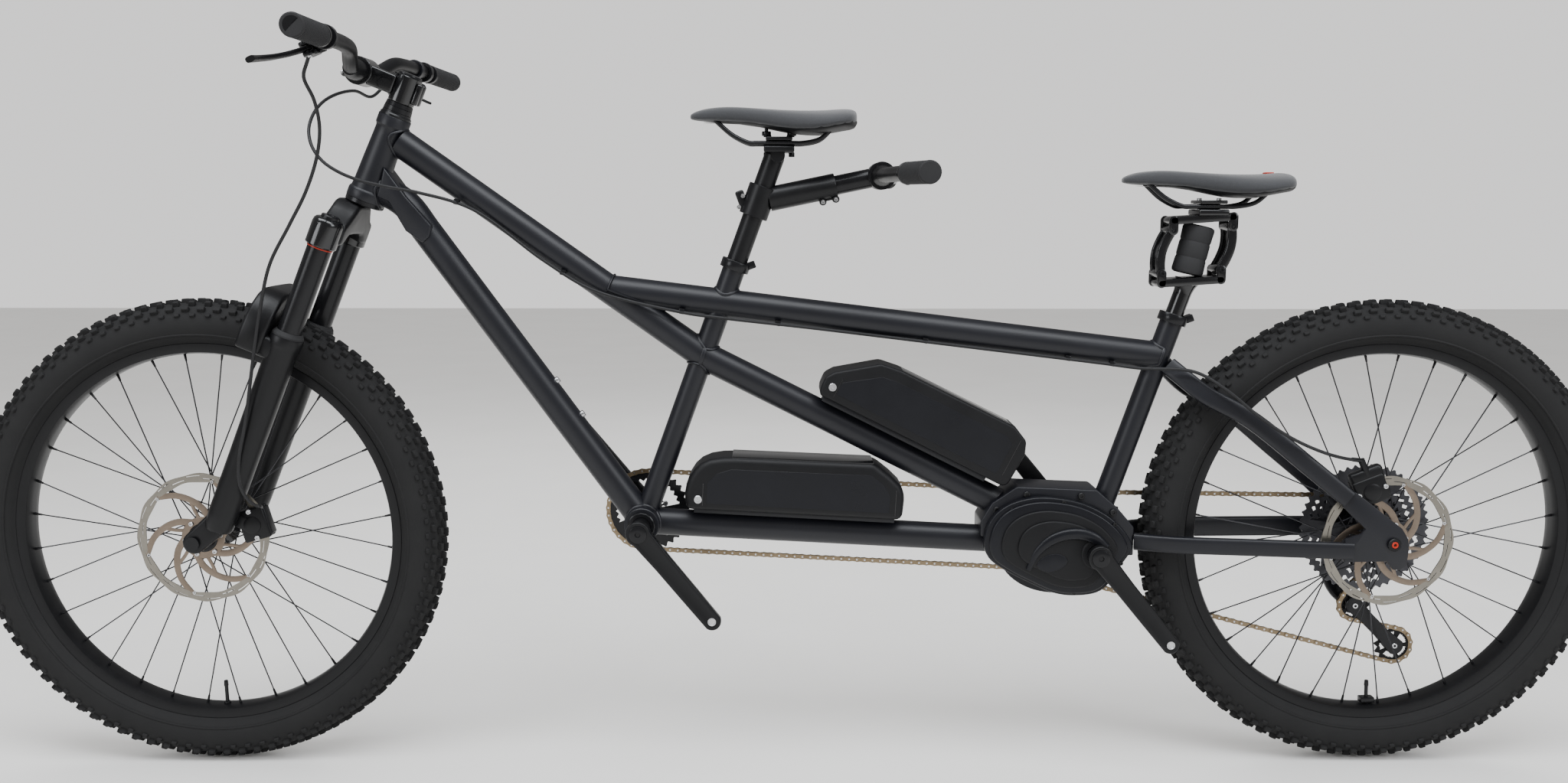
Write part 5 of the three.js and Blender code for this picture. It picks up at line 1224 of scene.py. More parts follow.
# %% Cassette
cogs = []
for i, teeth in enumerate([50, 42, 36, 32, 28, 24, 21, 18, 16, 14, 12, 11]):
    pitch_radius = chain_pitch / 2 / math.sin(math.pi / teeth)
    y = 25.5 + 3.8 * i
    holes = 6 if teeth >= 28 else 0
    phase = phase_for(drive_spots, flat[2], sprocket_radius, 24) if teeth == 24 else 0.1 * i
    disc = toothed(teeth, pitch_radius - 0.4, y - 0.9, y + 0.9, 17.8, holes, (29, pitch_radius - 12), phase, 4.6)
    cogs.append(disc)
spacers = turned([(17.8, 24.8), (21, 24.8), (21, 68.4), (19.4, 69.2), (17.8, 69.2)], 48, closed=True)
cogs.append(placed(spacers, ACROSS))
piece("cassette_cogs", joined(*cogs), "cassette", "cog", ["cassette"], Matrix.Translation(rear_axle))
freehub_body = turned([(8, 24), (16.6, 24), (16.6, 72.4), (15.4, 73.4), (8, 73.4)], 48, closed=True)
piece("freehub_body", placed(freehub_body, ACROSS), "rear_wheel", "bright", place=Matrix.Translation(rear_axle))

# %% [markdown]
# ## Fork
# A suspension fork has two parts that slide: the crown with its stanchions, which turns with the bar, and the
# lowers with their arch, which also ride up and down. Both are modelled upright and leaned by STEERING.

# %% Fork crown and stanchions
def cross_plate(outline, x_low, x_high, bevel=0.0, segments=2):
    """An outline of (y, z) points, made thick along the bicycle."""
    bm = plate(outline, x_low, x_high, bevel, segments)
    swap = Matrix(((0, 1, 0, 0), (1, 0, 0, 0), (0, 0, 1, 0), (0, 0, 0, 1)))
    bmesh.ops.transform(bm, matrix=swap, verts=bm.verts)
    bmesh.ops.reverse_faces(bm, faces=bm.faces)
    return bm


def leg_turned(profile, side, closed=False):
    return placed(turned(profile, 56, closed), Matrix.Translation((-19.4, side * 67, 0)))


crown_half = [(0, 568), (22, 568), (30, 565), (40, 554), (50, 544), (64, 533), (66, 526), (66, 503), (52, 503),
              (44, 507),
              (38, 514), (30, 519), (0, 520)]
crown_outline = crown_half + [(-y, z) for y, z in crown_half[-2:0:-1]]
crown = cross_plate(crown_outline, -34, 6, 9, 4)
cups = [leg_turned([(18.1, 495), (21.8, 495), (22.9, 496.4), (22.9, 528), (22, 533), (19.6, 536.4), (16, 538),
                    (0, 538)], side)
        for side in (-1, 1)]
caps = [leg_turned([(0, 541.6), (6, 541.6), (7, 542.6), (12.4, 542.6), (13.6, 541.4), (13.8, 538), (0, 537.6)], -1),
        leg_turned([(0, 547), (11, 547), (12.4, 545.8), (12.8, 539.6), (14.6, 538.6), (14.6, 537.8), (0, 537.6)], 1)]
piece("fork_crown_forging", crown, "steering", "alloy", ["fork_uppers"], STEERING)
piece("fork_crown_cups", joined(*cups), "steering", "gloss", place=STEERING)
piece("fork_leg_caps", joined(*caps), "steering", "alloy_sheen", place=STEERING)
tubes = [leg_turned([(0, 200), (15.8, 200), (18, 202), (18, 498), (0, 498)], side) for side in (-1, 1)]
piece("fork_stanchions", joined(*tubes), "steering", "alloy_sheen", place=STEERING)
travel_ring = leg_turned([(18.05, 491.6), (18.9, 491.9), (19.1, 492.7), (18.9, 493.5), (18.05, 493.8)], -1, True)
piece("fork_travel_ring", travel_ring, "steering", "red", place=STEERING)

# %% Fork lowers
lower_leg = [(0, 30), (15, 30), (19, 32), (21.4, 38), (22, 60), (22.2, 140), (22.8, 240), (23, 330), (24.4, 335),
             (24.9, 337), (24.9, 348), (24.2, 350), (18.4, 350)]
seal = [(18.2, 349.6), (23.6, 350.2), (23.4, 353), (21.4, 355.6), (19.4, 358.2), (18.2, 358.4)]
arch_outer = [(90, 311), (90, 344), (87, 362), (79, 380), (66, 395), (50, 403.5), (26, 404)]
arch_inner = [(26, 375), (34, 373), (41, 364), (45, 352), (46.5, 338), (46.5, 311)]
arch_outline = (arch_outer + [(-y, z) for y, z in arch_outer[::-1]] + [(-y, z) for y, z in arch_inner[::-1]]
                + arch_inner)
arch = cross_plate(arch_outline, -83, -44, 6, 3)
rib_points = ((56, 330), (73, 330), (72, 352), (60, 372), (49, 384), (44, 376), (52, 360))
ribs = [cross_plate([(side * (y + 3), z) for y, z in rib_points], -84.6, -80, 2.2, 2) for side in (-1, 1)]



def lug(side):
    first = arc_points(-44, 0, 17, 152, 333, 12)
    second = arc_points(-19.4, 48, 19, -28, 153, 12)
    low, high = sorted((side * 55.6, side * 77.8))
    return plate(first + second, low, high, 5, 3)


ties = [block((-39, side * 67, 326), (36, 40, 34), 0, 8, 3) for side in (-1, 1)]
legs = [leg_turned(lower_leg, side) for side in (-1, 1)]
lowers = joined(*legs, arch, *ribs, *ties, lug(-1), lug(1))
piece("fork_lower_legs_and_arch", lowers, "lower_fork", "alloy", ["fork_lowers"], STEERING)
piece("fork_wiper_seals", joined(*[leg_turned(seal, side, True) for side in (-1, 1)]), "lower_fork", "grip",
      place=STEERING)
thru_axle = joined(
    turned_across([(0, -81.4), (3.4, -81.4), (3.8, -79), (9.6, -79), (10.6, -80), (10.6, -82), (0, -82)][::-1], 32,
                  -44, 0),
    rod(at(-44, -81, 0), at(-44, 81, 0), 7.4, sides=32),
    turned_across([(0, 77), (10.5, 77), (10.5, 81), (9.6, 82), (0, 82)], 32, -44, 0),
)
piece("front_thru_axle", thru_axle, "lower_fork", "alloy_sheen", place=STEERING)
foot_nuts = [leg_turned([(0, 24.5), (5.4, 24.5), (6, 25.2), (6, 30.4), (0, 30.4)], side) for side in (-1, 1)]
piece("fork_foot_nuts", joined(*foot_nuts), "lower_fork", "bright", place=STEERING)

# %% [markdown]
# ## Brake calipers
# A caliper is two halves bolted together over the rotor. The rotor passes through the slot between them.

# %% Calipers
def caliper(center, turn, plane, low, high):
    """Two halves at either side of the rotor's plane, a bridge outside it, fins and screws."""
    reach = lean(turn)
    tangent = lean(turn + 90)

    def put(radial, along, y_low, y_high, radial_size, along_size, bevel):
        middle = center + reach * radial + tangent * along + at(0, (y_low + y_high) / 2, 0)
        return block(middle, (radial_size, y_high - y_low, along_size), turn, bevel, 3)

    halves = [put(86, 0, low, plane - 1.9, 42, 50, 3.2), put(86, 0, plane + 1.9, high, 42, 50, 3.2),
              put(105, 0, low + 2, high - 2, 9, 44, 2.4)]
    humps = []
    for y, outward in ((low, -1), (high, 1)):
        spot = center + reach * 84 + at(0, y - outward * 1.0, 0)
        humps.append(placed(turned([(0, 3.2), (11, 3.2), (13.4, 2.2), (14, 0), (0, 0)], 36),
                            aimed(spot, spot + at(0, outward, 0))))
    fins = [put(98, -14 + 7 * i, plane - 4.6, plane + 4.6, 16, 1.6, 0.4) for i in range(5)]
    body = joined(*halves, *humps)
    screws = [(center + reach * 86 + tangent * s * 21 + at(0, low, 0), at(0, -1, 0)) for s in (-1, 1)]
    return body, joined(*fins), bolts(screws, 3.8, 2.6)


axle_center = at(-44, 0, 0)
body, fins, screws = caliper(axle_center, 38, -40, -53, -29)
arm = block((2.6, -50.5, 50), (40, 8.4, 20), 0, 2, 2)
piece("front_caliper_halves", joined(body, arm), "lower_fork", "alloy", ["front_caliper"], STEERING)
piece("front_caliper_fins", fins, "lower_fork", "bright", place=STEERING)
piece("front_caliper_screws", screws, "lower_fork", "bright", place=STEERING)
body, fins, screws = caliper(rear_axle, 112, -58, -68, -46)
banjo = joined(block(rear_axle + lean(111) * 108 + at(0, -58, 0), (26, 17, 52), 112, 6, 3),
               rod(at(860, -62, 496), at(872, -62, 470), 5, sides=20))
piece("rear_caliper_halves", joined(body, banjo), "frame", "alloy", ["rear_caliper"])
piece("rear_caliper_fins", fins, "frame", "bright")
piece("rear_caliper_screws", screws, "frame", "bright")

# %% [markdown]
# ## Cockpit
# The stem clamps the steerer at the back and the bar at the front, with a four-bolt faceplate. The bar sweeps up
# and back to the grips. Every lever hangs from a ring round the bar.

# %% Stem
spacers = [(15, 709.6), (21.6, 709.6), (22, 710.2), (21.5, 716.6), (20.9, 716.9), (21.3, 717.3), (20.7, 724),
           (20.1, 724.3), (20.5, 724.8), (19.6, 730.8), (15, 730.8)]
piece("headset_spacers", turned(spacers, 64, closed=True), "steering", "alloy_sheen", place=STEERING)
stem_clamp = turned([(14.8, 731.4), (18.8, 731.4), (19.5, 732.4), (19.5, 772), (18.6, 773), (14.8, 773)], 64,
                    closed=True)
stem_body = plate([(-14, 738.6), (-56, 738), (-62, 742), (-62, 764), (-56, 768), (-14, 767.6)], -17, 17, 5.5, 4)
bar_clamp = turned_across(ring_section(16.1, 21, -24, 24), 64, -68.6, 753, closed=True)
face_plate = [block((-87.2, side * 15.5, 753), (6.4, 11, 33), 0, 2.4, 3) for side in (-1, 1)]
stem = joined(stem_clamp, stem_body, bar_clamp, *face_plate,
              *[block((21.5, side * 7.5, 752), (9, 10, 32), 0, 2.4, 3) for side in (-1, 1)])
piece("stem_forging", stem, "steering", "gloss", ["stem"], STEERING)
stem_bolts = [(at(-90.2, y, z), at(-1, 0, 0)) for y in (-15.5, 15.5) for z in (741.4, 764.6)]
stem_bolts += [(at(21.5, 12.4, z), at(0, 1, 0)) for z in (743, 761)]
piece("stem_bolts", bolts(stem_bolts, 3.3, 2.6), "steering", "bright", place=STEERING)
top_cap = turned([(0, 775), (4, 775), (4.6, 777.6), (14, 777.4), (17.4, 776), (18, 774.4), (18, 773.4), (0, 773.4)],
                 48)
piece("stem_top_cap", top_cap, "steering", "alloy_sheen", place=STEERING)

# %% Handlebar
half_route = [at(0, 0, 0), at(0, 50, 0), at(2.9, 75, 8.8), at(7, 110, 25.2), at(11, 150, 29.6), at(16.8, 240, 30.6),
              at(29, 399, 31.5)]
bar_center = at(-68.6, 0, 753)
bar_route = [bar_center + p for p in half_route]
bar_whole = [MIRROR @ p for p in bar_route[:0:-1]] + bar_route


def bar_at(y):
    """The handlebar's centre at a distance from the middle plane."""
    for a, b in zip(bar_route, bar_route[1:]):
        if b.y >= y:
            return a.lerp(b, (y - a.y) / (b.y - a.y))
    return bar_route[-1]


bulge_profile = [(10.8, -60), (11.2, -58), (13.4, -50), (15.9, -42), (15.9, 42), (13.4, 50), (11.2, 58), (10.8, 60)]
bulge = turned_across([(0, -60)] + bulge_profile + [(0, 60)], 48, bar_center.x, bar_center.z)
piece("riser_handlebar", joined(sweep(bar_whole, 22, sides=36, step=7, side=(0, 0, 1)), bulge), "steering", "alloy",
      ["handlebar"], STEERING)

# %% [markdown]
# Lock-on grips are ribbed rubber sleeves between a clamp collar and an end plug.

# %% Grips
def grip(inner, outer):
    length = (outer - inner).length
    profile = [(11.6, 9), (15.0, 9), (15.2, 9.8)]
    height = 12.0
    while height < length - 8:
        profile += [(15.3, height), (15.3, height + 2.4), (14.3, height + 2.9), (14.3, height + 4.3)]
        height += 4.8
    profile += [(15.3, length - 6), (15.5, length - 3), (15.2, length - 1), (13.6, length), (0, length)]
    sleeve = placed(turned(profile, 40), aimed(inner, outer))
    collar = turned([(11.6, 0.3), (14.8, 0.3), (15.5, 1), (15.5, 7.6), (14.8, 8.4), (11.6, 8.4)], 40, closed=True)
    return sleeve, placed(collar, aimed(inner, outer))


def grip_pair(inner, outer, names, nodes, body, place=None):
    for side, name, node in zip((-1, 1), names, nodes):
        flip = MIRROR if side < 0 else Matrix()
        sleeve, collar = grip(flip @ inner, flip @ outer)
        piece(name, sleeve, body, "grip", [node], place)
        screw = flip @ (inner.lerp(outer, 0.035)) + at(0, 0, -15)
        ring = joined(collar, bolts([(screw, at(0, 0, -1))], 2.4, 1.0))
        piece(name + "_collar", ring, body, "alloy_sheen", place=place)


grip_pair(bar_at(269.2), bar_at(399), ("captain_left_ribbed_grip", "captain_right_ribbed_grip"),
          ("left_grip", "right_grip"), "steering", STEERING)

# %% [markdown]
# Each brake lever has a master cylinder that lies along the bar, a clamp ring and a blade on a hinge.

# %% Brake levers
pivot = bar_at(212) + at(-27, 0, -24)
hinge_way = at(0.7071, 0, -0.7071)


def lever_body():
    start, end = bar_at(158) + at(-26, 0, -6), bar_at(246) + at(-24, 0, -8)
    span = (end - start).length
    cylinder = turned([(0, 0), (5, 0), (6.4, 1.4), (6.8, 9), (9.4, 13), (9.9, 18), (9.9, span - 8), (8.6, span - 2),
                       (6, span), (0, span)], 40)
    lid = block(start.lerp(end, 0.6) + at(-3.6, 0, 7.2), (15, 42, 5), 24, 1.8, 3)
    ring = turned(ring_section(11.3, 16.4, -5.4, 5.4, 0.6), 44, closed=True)
    neck = block(bar_at(246) + at(-14, -1, -6), (24, 9, 15), 14, 2.4, 3)
    ears = [rod(pivot + hinge_way * s * 4.2, pivot + hinge_way * s * 9.8, 8, sides=28, bevel=1.2) for s in (-1, 1)]
    arms = [block(pivot + hinge_way * s * 7 + at(3, -10, 3), (5.4, 22, 15), 45 + 90, 2, 2) for s in (-1, 1)]
    bridge = block(pivot + at(8, -17, 8), (18, 10, 18), 45, 3, 3)
    ring_place = aimed(bar_at(241), bar_at(252)) @ Matrix.Translation((0, 0, 5.5))
    return joined(placed(cylinder, aimed(start, end)), lid, placed(ring, ring_place),
                  neck, *ears, *arms, bridge)


def lever_blade():
    root = rod(pivot - hinge_way * 2.9, pivot + hinge_way * 2.9, 7, sides=28, bevel=1)
    route = [pivot, bar_at(236) + at(-38, 0, -38), bar_at(262) + at(-48, 0, -49), bar_at(300) + at(-54, 0, -57),
             bar_at(338) + at(-52, 0, -60)]
    blade = sweep(route, 7.6, 11.5, sides=24, square=0.7, step=6, side=(0.7071, 0, -0.7071),
                  taper=lambda t: 0.9 + 0.25 * abs(t - 0.4))
    return joined(root, blade)


def mirrored(part):
    bmesh.ops.transform(part, matrix=MIRROR, verts=part.verts)
    bmesh.ops.reverse_faces(part, faces=part.faces)
    return part


lever_screws = [(pivot + hinge_way * 9.8, hinge_way), (bar_at(246) + at(-13, 4.5, -3), at(0, 1, 0))]
for side, word in ((-1, "left"), (1, "right")):
    turn_over = mirrored if side < 0 else (lambda part: part)
    piece(word + "_master_cylinder", turn_over(lever_body()), "steering", "alloy_sheen", [word + "_lever_body"],
          STEERING)
    piece(word + "_lever_screws", turn_over(bolts(lever_screws, 3, 1.8)), "steering", "bright", place=STEERING)
    piece(word + "_lever_blade", turn_over(lever_blade()), word + "_brake_blade", "alloy", [word + "_brake_blade"],
          STEERING)

# %% Shifter
seat = bar_at(206)
pod_top, pod_low = seat + at(10, -4, -17), seat + at(10, -4, -37)
pod_length = (pod_low - pod_top).length
pod = placed(turned([(0, 0), (13, 0), (16, 2), (17, 5), (17, pod_length - 3), (15.4, pod_length), (0, pod_length)],
                    40),
             aimed(pod_top, pod_low))
pod_ring = turned([(11.4, -5), (14.6, -5), (15.4, -4.4), (15.4, 4.4), (14.6, 5), (11.4, 5)], 40, closed=True)
pod_parts = joined(pod, placed(pod_ring, aimed(bar_at(202), bar_at(210))),
                   block(seat + at(4, -4, -14), (12, 9, 14), 0, 2, 2),
                   block(seat + at(-14, -4, -5), (14, 9, 11), 0, 2, 2))
piece("shifter_pod", pod_parts, "steering", "plastic_satin", place=STEERING)
paddle_at = seat + at(10, -4, -40)
paddle_outline = arc_points(0, 0, 8, 122, 306, 14) + arc_points(34, 22, 6, -54, 126, 14)
paddle = plate(paddle_outline, -2, 2, 1.2, 2)
bmesh.ops.rotate(paddle, cent=(0, 0, 0), matrix=Matrix.Rotation(-math.pi / 2, 3, "X"), verts=paddle.verts)
bmesh.ops.scale(paddle, vec=(1, -1, 1), verts=paddle.verts)
placed(paddle, Matrix.Translation(paddle_at + at(0, 0, -1)))
bmesh.ops.recalc_face_normals(paddle, faces=paddle.faces)
piece("shifter_thumb_paddle", paddle, "shift_paddle", "plastic", ["shift_paddle"], STEERING)

# %% [markdown]
# ## Saddles and posts
# A saddle is a stiff shell with moulded foam and a tight cover. It is lofted: one rounded ring after another grows
# from the nose, with a shallow relief channel, and then it is subdivided. Two bent rails carry it on the post.

# %% Saddle pad
def saddle_loft(clamp, shrink=0.0, low_shift=0.0, channel=3.4):
    nose = clamp.x - 133.75
    sections = [(0.0, 0.085, 42, 36.5), (0.015, 0.165, 45, 34.8), (0.05, 0.235, 48.6, 33.4), (0.1, 0.285, 52, 32.4),
                (0.2, 0.33, 55.2, 31.4), (0.3, 0.355, 54.8, 30.2), (0.42, 0.405, 52.6, 26), (0.52, 0.49, 50.8, 20.8),
                (0.62, 0.63, 49.4, 16.2), (0.7, 0.78, 48.9, 14.6), (0.78, 0.91, 48.9, 14.4), (0.86, 0.98, 49.9, 18.2),
                (0.92, 0.97, 51, 21), (0.965, 0.87, 50.4, 22.8), (0.99, 0.68, 48, 25), (1.0, 0.46, 45, 29)]
    bm = bmesh.new()
    count = 44

    def shape(ring, u, half, top, low):
        half = max(half * 74 - shrink, 3)
        low += low_shift
        for i, v in enumerate(ring):
            turn = 2 * math.pi * i / count
            c, s = math.cos(turn), math.sin(turn)
            y = math.copysign(abs(c) ** 0.82, c) * half
            middle = low + (top - low) * 0.42
            if s >= 0:
                z = middle + (top - middle) * s**0.72
                fade = min(1, max(0, (u - 0.12) * 5)) * min(1, max(0, (0.93 - u) * 9))
                z -= channel * math.exp(-(y / 8.5) ** 2) * fade
                z -= 4.5 * (abs(y) / 74) ** 2.4
            else:
                z = middle - (middle - low) * abs(s) ** 0.5
                y *= 1 - 0.10 * abs(s)
            v.co = Vector((nose + u * 250, y, clamp.z + z))

    ring = bmesh.ops.create_circle(bm, cap_ends=False, radius=1, segments=count)["verts"]
    edges = bm.edges[:]
    first = edges
    shape(ring, *sections[0])
    for section in sections[1:]:
        grown = bmesh.ops.extrude_edge_only(bm, edges=edges)["geom"]
        fresh = only(grown, bmesh.types.BMVert)
        known = set(fresh)
        follow = []
        for old in ring:
            follow.append(next(e.other_vert(old) for e in old.link_edges if e.other_vert(old) in known))
        ring = follow
        edges = [e for e in only(grown, bmesh.types.BMEdge) if e.verts[0] in known and e.verts[1] in known]
        shape(ring, *section)
    bmesh.ops.edgeloop_fill(bm, edges=first)
    bmesh.ops.edgeloop_fill(bm, edges=edges)
    bmesh.ops.recalc_face_normals(bm, faces=bm.faces)
    return bm


def saddle(rider, clamp, body):
    nose = clamp.x - 133.75
    pad = piece(rider + "_saddle_pad", saddle_loft(clamp), body, "cloth", [rider + "_saddle"], crease=180)
    smooth = pad.modifiers.new("smooth", "SUBSURF")
    smooth.levels = smooth.render_levels = 2
    shell = saddle_loft(clamp, 3.0, -1.8, 0)
    bmesh.ops.bisect_plane(shell, geom=shell.verts[:] + shell.edges[:] + shell.faces[:],
                           plane_co=(0, 0, clamp.z + 31),
                           plane_no=(0, 0, 1), clear_outer=True)
    rims = [e for e in shell.edges if e.is_boundary]
    bmesh.ops.holes_fill(shell, edges=rims, sides=0)
    base = piece(rider + "_saddle_shell", shell, body, "plastic")
    rails = [sweep([(nose + 38, s * 12, clamp.z + 34), (nose + 64, s * 17, clamp.z + 12),
                    (nose + 90, s * 22, clamp.z),
                    (nose + 98, s * 22, clamp.z), (nose + 158, s * 22, clamp.z), (nose + 167, s * 22, clamp.z),
                    (nose + 195, s * 26, clamp.z + 6), (nose + 214, s * 30, clamp.z + 23)], 7, sides=16, step=5)
             for s in (-1, 1)]
    piece(rider + "_saddle_rails", joined(*rails), body, "alloy_sheen")


def rail_clamp(clamp):
    cradle = block(clamp + at(0, 0, -8.8), (46, 58, 9.6), 0, 2.6, 3)
    top = block(clamp + at(0, 0, 6.8), (40, 56, 5.6), 0, 1.8, 3)
    column = block(clamp, (26, 26, 9), 0, 3, 2)
    screws = bolts([(clamp + at(x, 0, 9.4), at(0, 0, 1)) for x in (-15, 15)], 3.6, 3.4)
    shanks = joined(*[rod(clamp + at(x, 0, -13), clamp + at(x, 0, 9), 2.4, sides=12) for x in (-15, 15)])
    return joined(cradle, top, column), joined(screws, shanks)


captain_clamp = captain_crank + captain_up * 620
saddle("captain", captain_clamp, "captain_post")
head = captain_clamp - captain_up * 6
clamp_parts, clamp_screws = rail_clamp(captain_clamp)
post = joined(
    rod(captain_crank + captain_up * 300, head - captain_up * 14, 15.8, sides=56),
    turned_across(ring_section(0, 11, -24, 24), 40, head.x, head.z - 12),
    rod(head - captain_up * 30, head - captain_up * 6, 15.8, 12.5, sides=40),
    clamp_parts,
)
piece("captain_post_and_clamp", post, "captain_post", "alloy", ["captain_seatpost"])
thumb_nut = turned([(0, 0), (4.2, 0), (4.6, 1.6), (6.6, 2), (7, 3), (7, 7.6), (6.4, 8.6), (3, 8.8), (2.4, 15),
                    (0, 15)], 14)
nuts = repeated(thumb_nut, [Matrix.Translation(captain_clamp + at(x, 0, 9.6)) for x in (-19, 19)])
feet = joined(*[rod(captain_clamp + at(x, 0, -20), captain_clamp + at(x, 0, -13), 4.6, sides=14, bevel=0.8)
                for x in (-19, 19)])
piece("captain_clamp_screws", joined(nuts, feet, clamp_screws), "captain_post", "alloy_sheen")

# %% [markdown]
# The stoker's post is a parallelogram: two links swing between pivot pins, squeezing a ribbed elastomer block.

# %% Sprung post
post_top = stoker_crank + stoker_up * 432
link_up = lean(77)
lower_pivots = [at(post_top.x - 44, 0, post_top.z + 16), at(post_top.x + 46, 0, post_top.z + 22)]
upper_pivots = [p + link_up * 66.5 for p in lower_pivots]
stoker_clamp = at((upper_pivots[0].x + upper_pivots[1].x) / 2 + 14, 0, upper_pivots[0].z + 36)


def capsule_outline(a, b, radius):
    way = math.degrees(math.atan2(b.z - a.z, b.x - a.x))
    first = [(a + lean(way + t) * radius) for t in range(90, 271, 15)]
    second = [(b + lean(way + t) * radius) for t in range(-90, 91, 15)]
    return [(p.x, p.z) for p in first + second]


def pivot_frame(pivots, rise):
    front, rear = [p + at(0, 0, rise) for p in pivots]
    parts = [plate(capsule_outline(front, rear, 6), -25.4, 25.4, 1.8, 2)]
    for p in pivots:
        for s in (-1, 1):
            low, high = sorted((s * 20.6, s * 25.4))
            parts.append(plate(capsule_outline(p, p + at(0, 0, rise), 7), low, high, 1.2, 2))
    return parts


def link_parts(index):
    low, high = lower_pivots[index], upper_pivots[index]
    bow = at(-1 if index == 0 else 1, 0, 0)
    sides = []
    for s in (-1, 1):
        route = [low, low.lerp(high, 0.22) + bow * 4.5, low.lerp(high, 0.5) + bow * 7,
                 low.lerp(high, 0.78) + bow * 4.5, high]
        sides.append(sweep([p + at(0, s * 16.2, 0) for p in route], 7.4, 14, sides=24, square=0.6, step=5))
    web = sweep([low.lerp(high, 0.15) + bow * 3, low.lerp(high, 0.5) + bow * 8, low.lerp(high, 0.85) + bow * 3], 27,
                5,
                sides=20, square=0.5, step=6)
    barrels = [rod(p + at(0, -19.8, 0), p + at(0, 19.8, 0), 7.6, sides=32, bevel=1) for p in (low, high)]
    return joined(*sides, web, *barrels)


flare = placed(turned([(13.6, -16), (13.8, -12), (15.4, -4), (18.2, 3), (19, 6), (0, 6)], 48),
               aimed(post_top, post_top + stoker_up))
base_parts = [rod(stoker_crank + stoker_up * 200, post_top, 13.6, sides=48), flare, *pivot_frame(lower_pivots, -15)]
piece("sprung_post_base", joined(*base_parts), "stoker_post_base", "gloss", ["stoker_post"])
for index, node in enumerate(("front_link", "rear_link")):
    piece(node + "_forked", link_parts(index), node, "gloss", [node])
clamp_parts, clamp_screws = rail_clamp(stoker_clamp)
head_parts = joined(*pivot_frame(upper_pivots, 15), block(stoker_clamp + at(0, 0, -14), (34, 40, 17), 0, 4, 3),
                    clamp_parts)
piece("sprung_post_head", head_parts, "stoker_seat", "gloss", ["post_head"])
piece("stoker_clamp_screws", clamp_screws, "stoker_seat", "bright")
for pins, body in ((lower_pivots, "stoker_post_base"), (upper_pivots, "stoker_seat")):
    spots = [(p + at(0, s * 25.2, 0), at(0, s, 0)) for p in pins for s in (-1, 1)]
    piece(body + "_pivot_pins", bolts(spots, 3.9, 1.8), body, "alloy_sheen")
low = lower_pivots[0].lerp(lower_pivots[1], 0.5) - link_up * 5
high = upper_pivots[0].lerp(upper_pivots[1], 0.5) + link_up * 5
tall = (high - low).length
bellows = [(0, 0.5), (19, 0.5), (23, 2.5), (24, 6), (23.2, tall * 0.3), (22.2, tall * 0.34), (23.2, tall * 0.38),
           (23.2, tall * 0.62), (22.2, tall * 0.66), (23.2, tall * 0.7), (24, tall - 6), (23, tall - 2.5),
           (19, tall - 0.5),
           (0, tall - 0.5)]
piece("elastomer_bellows", placed(turned(bellows, 48), aimed(low, high)), "stoker_post_base", "grip", ["elastomer"])
saddle("stoker", stoker_clamp, "stoker_seat")
tab_at = at(stoker_clamp.x + 88, 0, stoker_clamp.z + 50)
piece("saddle_tail_tab", block(tab_at, (13, 16, 3.4), 0, 1.4, 2), "stoker_seat", "red")

# %% [markdown]
# ## Stoker's bar
# The stoker holds a bar that clamps to the captain's post. A slider in a sleeve sets its reach.

# %% Stoker stem and bar
stem_foot = captain_crank + captain_up * 528
stem_back = lean(11.7)
bar_middle = stem_foot + stem_back * 190
collar = placed(turned(ring_section(16.2, 22, -24, 24), 56, closed=True),
                aimed(stem_foot, stem_foot + captain_up))
sleeve = placed(turned([(15.1, 17), (18.2, 17), (18.6, 18), (18.6, 118.6), (17.8, 120), (15.1, 120)], 56,
                       closed=True),
                aimed(stem_foot, stem_foot + stem_back))
stem_down = at(stem_back.z, 0, -stem_back.x)
lugs = [block(stem_foot + at(-24, s * 5, 0), (13, 6.4, 34), 20, 3, 3) for s in (-1, 1)]
ears = [rod(stem_foot + stem_back * d + stem_down * 20.5 + at(0, -9, 0),
            stem_foot + stem_back * d + stem_down * 20.5 + at(0, 9, 0),
            5.4, sides=28, bevel=0.8) for d in (96, 116)]
ears.append(block(stem_foot + stem_back * 106 + stem_down * 18, (24, 12, 5), 11.7, 1.4, 2))
piece("stoker_stem_collar_and_sleeve", joined(collar, sleeve, *lugs, *ears), "captain_post", "alloy",
      ["stoker_stem_sleeve"])
sleeve_bolts = [(stem_foot + at(-26, -8, 0) + captain_up * h, at(0, -1, 0)) for h in (-9, 9)]
sleeve_bolts += [(stem_foot + stem_back * d + stem_down * 20.5 + at(0, -8.8, 0), at(0, -1, 0)) for d in (96, 116)]
piece("stoker_stem_bolts", bolts(sleeve_bolts, 3.4, 2.4), "captain_post", "bright")
slider_clamp = turned_across(ring_section(16.1, 21, -24, 24), 56, bar_middle.x, bar_middle.z, closed=True)
slider = joined(rod(stem_foot + stem_back * 52, bar_middle - stem_back * 17, 14.6, sides=48), slider_clamp)
piece("stoker_stem_slider_tube", slider, "stoker_bar_assembly", "alloy_sheen", ["stoker_stem_slider"])
clamp_bolts = [(bar_middle + at(20.4, y, z), at(1, 0, 0)) for y in (-14, 14) for z in (-9, 9)]
piece("stoker_clamp_bolts", bolts(clamp_bolts, 3, 1.6), "stoker_bar_assembly", "bright")
stoker_half = [bar_middle + p for p in (at(0, 0, 0), at(0, 60, 0), at(4, 110, 0), at(16, 190, 0), at(38, 330, -1))]
stoker_whole = [MIRROR @ p for p in stoker_half[:0:-1]] + stoker_half
stoker_bulge = [(0, -46), (11.2, -44), (13.6, -37), (15.9, -30), (15.9, 30), (13.6, 37), (11.2, 44), (0, 46)]
stoker_bar = joined(sweep(stoker_whole, 22, sides=36, step=7, side=(0, 0, 1)),
                    turned_across(stoker_bulge, 48, bar_middle.x, bar_middle.z))
